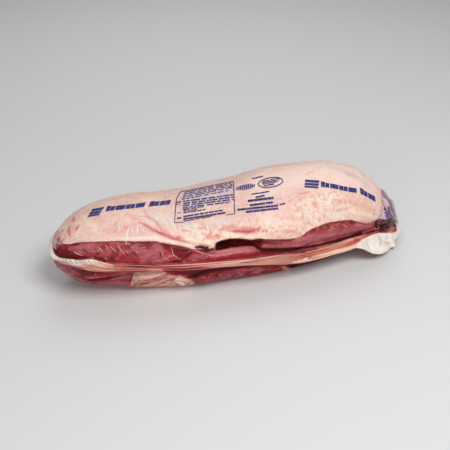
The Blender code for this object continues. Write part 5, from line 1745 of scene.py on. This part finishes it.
def stage_and_lights():
    bm = bmesh.new()
    bmesh.ops.create_grid(bm, x_segments=1, y_segments=1, size=FLOOR_REACH)
    mesh = bpy.data.meshes.new("floor")
    bm.to_mesh(mesh)
    bm.free()
    floor = bpy.data.objects.new("floor", mesh)
    bpy.context.scene.collection.objects.link(floor)
    f = Finish("pale_floor")
    f.set(base_color=colour(222, 222, 222), roughness=0.85)
    mesh.materials.append(f.material)

    world = bpy.data.worlds.new("studio")
    world.use_nodes = True
    world.node_tree.nodes["Background"].inputs["Color"].default_value = (1, 1, 1, 1)
    world.node_tree.nodes["Background"].inputs["Strength"].default_value = AMBIENT
    bpy.context.scene.world = world
    for name, place, size, watts in LIGHTS:
        light = bpy.data.lights.new(name, "AREA")
        light.size = size
        light.energy = watts
        lamp = bpy.data.objects.new(name, light)
        lamp.location = place
        aim = Vector(LIGHTS_AIM) - Vector(place)
        lamp.rotation_euler = aim.to_track_quat("-Z", "Y").to_euler()
        bpy.context.scene.collection.objects.link(lamp)


def camera():
    _, _, back = camera_axes()
    data = bpy.data.cameras.new("camera")
    data.sensor_width = SENSOR_MM
    data.lens = FOCAL_PIXELS / IMAGE * SENSOR_MM
    data.clip_start = 0.01
    made = bpy.data.objects.new("camera", data)
    made.location = CAMERA_AIM + back * CAMERA_DISTANCE
    made.rotation_euler = back.to_track_quat("Z", "Y").to_euler()
    bpy.context.scene.collection.objects.link(made)
    bpy.context.scene.camera = made
    bpy.context.scene.view_settings.view_transform = "Standard"


EDGE_COLUMNS, EDGE_LEVELS = 240, 60  # of the plain dome that the fat's edge is placed on


def photo_fat_edge():
    """Heights of the fat's edge above the seam, at the places where the photo shows it."""
    plain = skin(dome(even_bearings(EDGE_COLUMNS), pi / 2 * shares(EDGE_LEVELS)))
    tree = BVHTree.FromBMesh(plain)
    plain.free()
    spots = np.array([on_tree(tree, p)[0] for p in FAT_EDGE_LINE]) - MIDDLE
    spots = spots[np.argsort(spots[:, 0])]
    return spots[:, 0], spots[:, 2] - along(SEAM_HEIGHT, spots[:, 0])


def rib_marks():
    first, last, step, high, low, slant = FIN_RIBS
    count = np.arange((last - first) / step)
    across = first + step * (count + RIB_SWAY * np.sin(RIB_SWAY_RATE * count))
    return tuple((*RIB_SHADE, x, high, x + slant, low) for x in across)


MIDDLE = middle_shift()
PHOTO_EDGE.append(photo_fat_edge())
upper, lower, film, fin = upper_cut(), lower_cut(), bag_film(), seam_fin()
dress(upper, FAT_MARKS + LEAN_MARKS + END_MARKS, UPPER_FIELDS + END_FIELDS, knobs=UPPER_KNOBS)
dress(lower, LOWER_MARKS, LOWER_FIELDS, knobs=LOWER_KNOBS)
dress(film, FILM_MARKS, FILM_FIELDS)
dress(fin, FIN_MARKS + rib_marks(), FIN_FIELDS + END_FIELDS, wander=0.25)
film_tree = tree_of(film)
creases, printed = crease_lines(film_tree), film_print(film_tree)
flesh = beef()
for made, finish in (
    (upper, flesh), (lower, flesh), (film, clear_film()), (fin, folded_film()),
    (creases, crease_highlight_film()), (printed, ink()),
):
    made.data.materials.append(finish)
stage_and_lights()
camera()
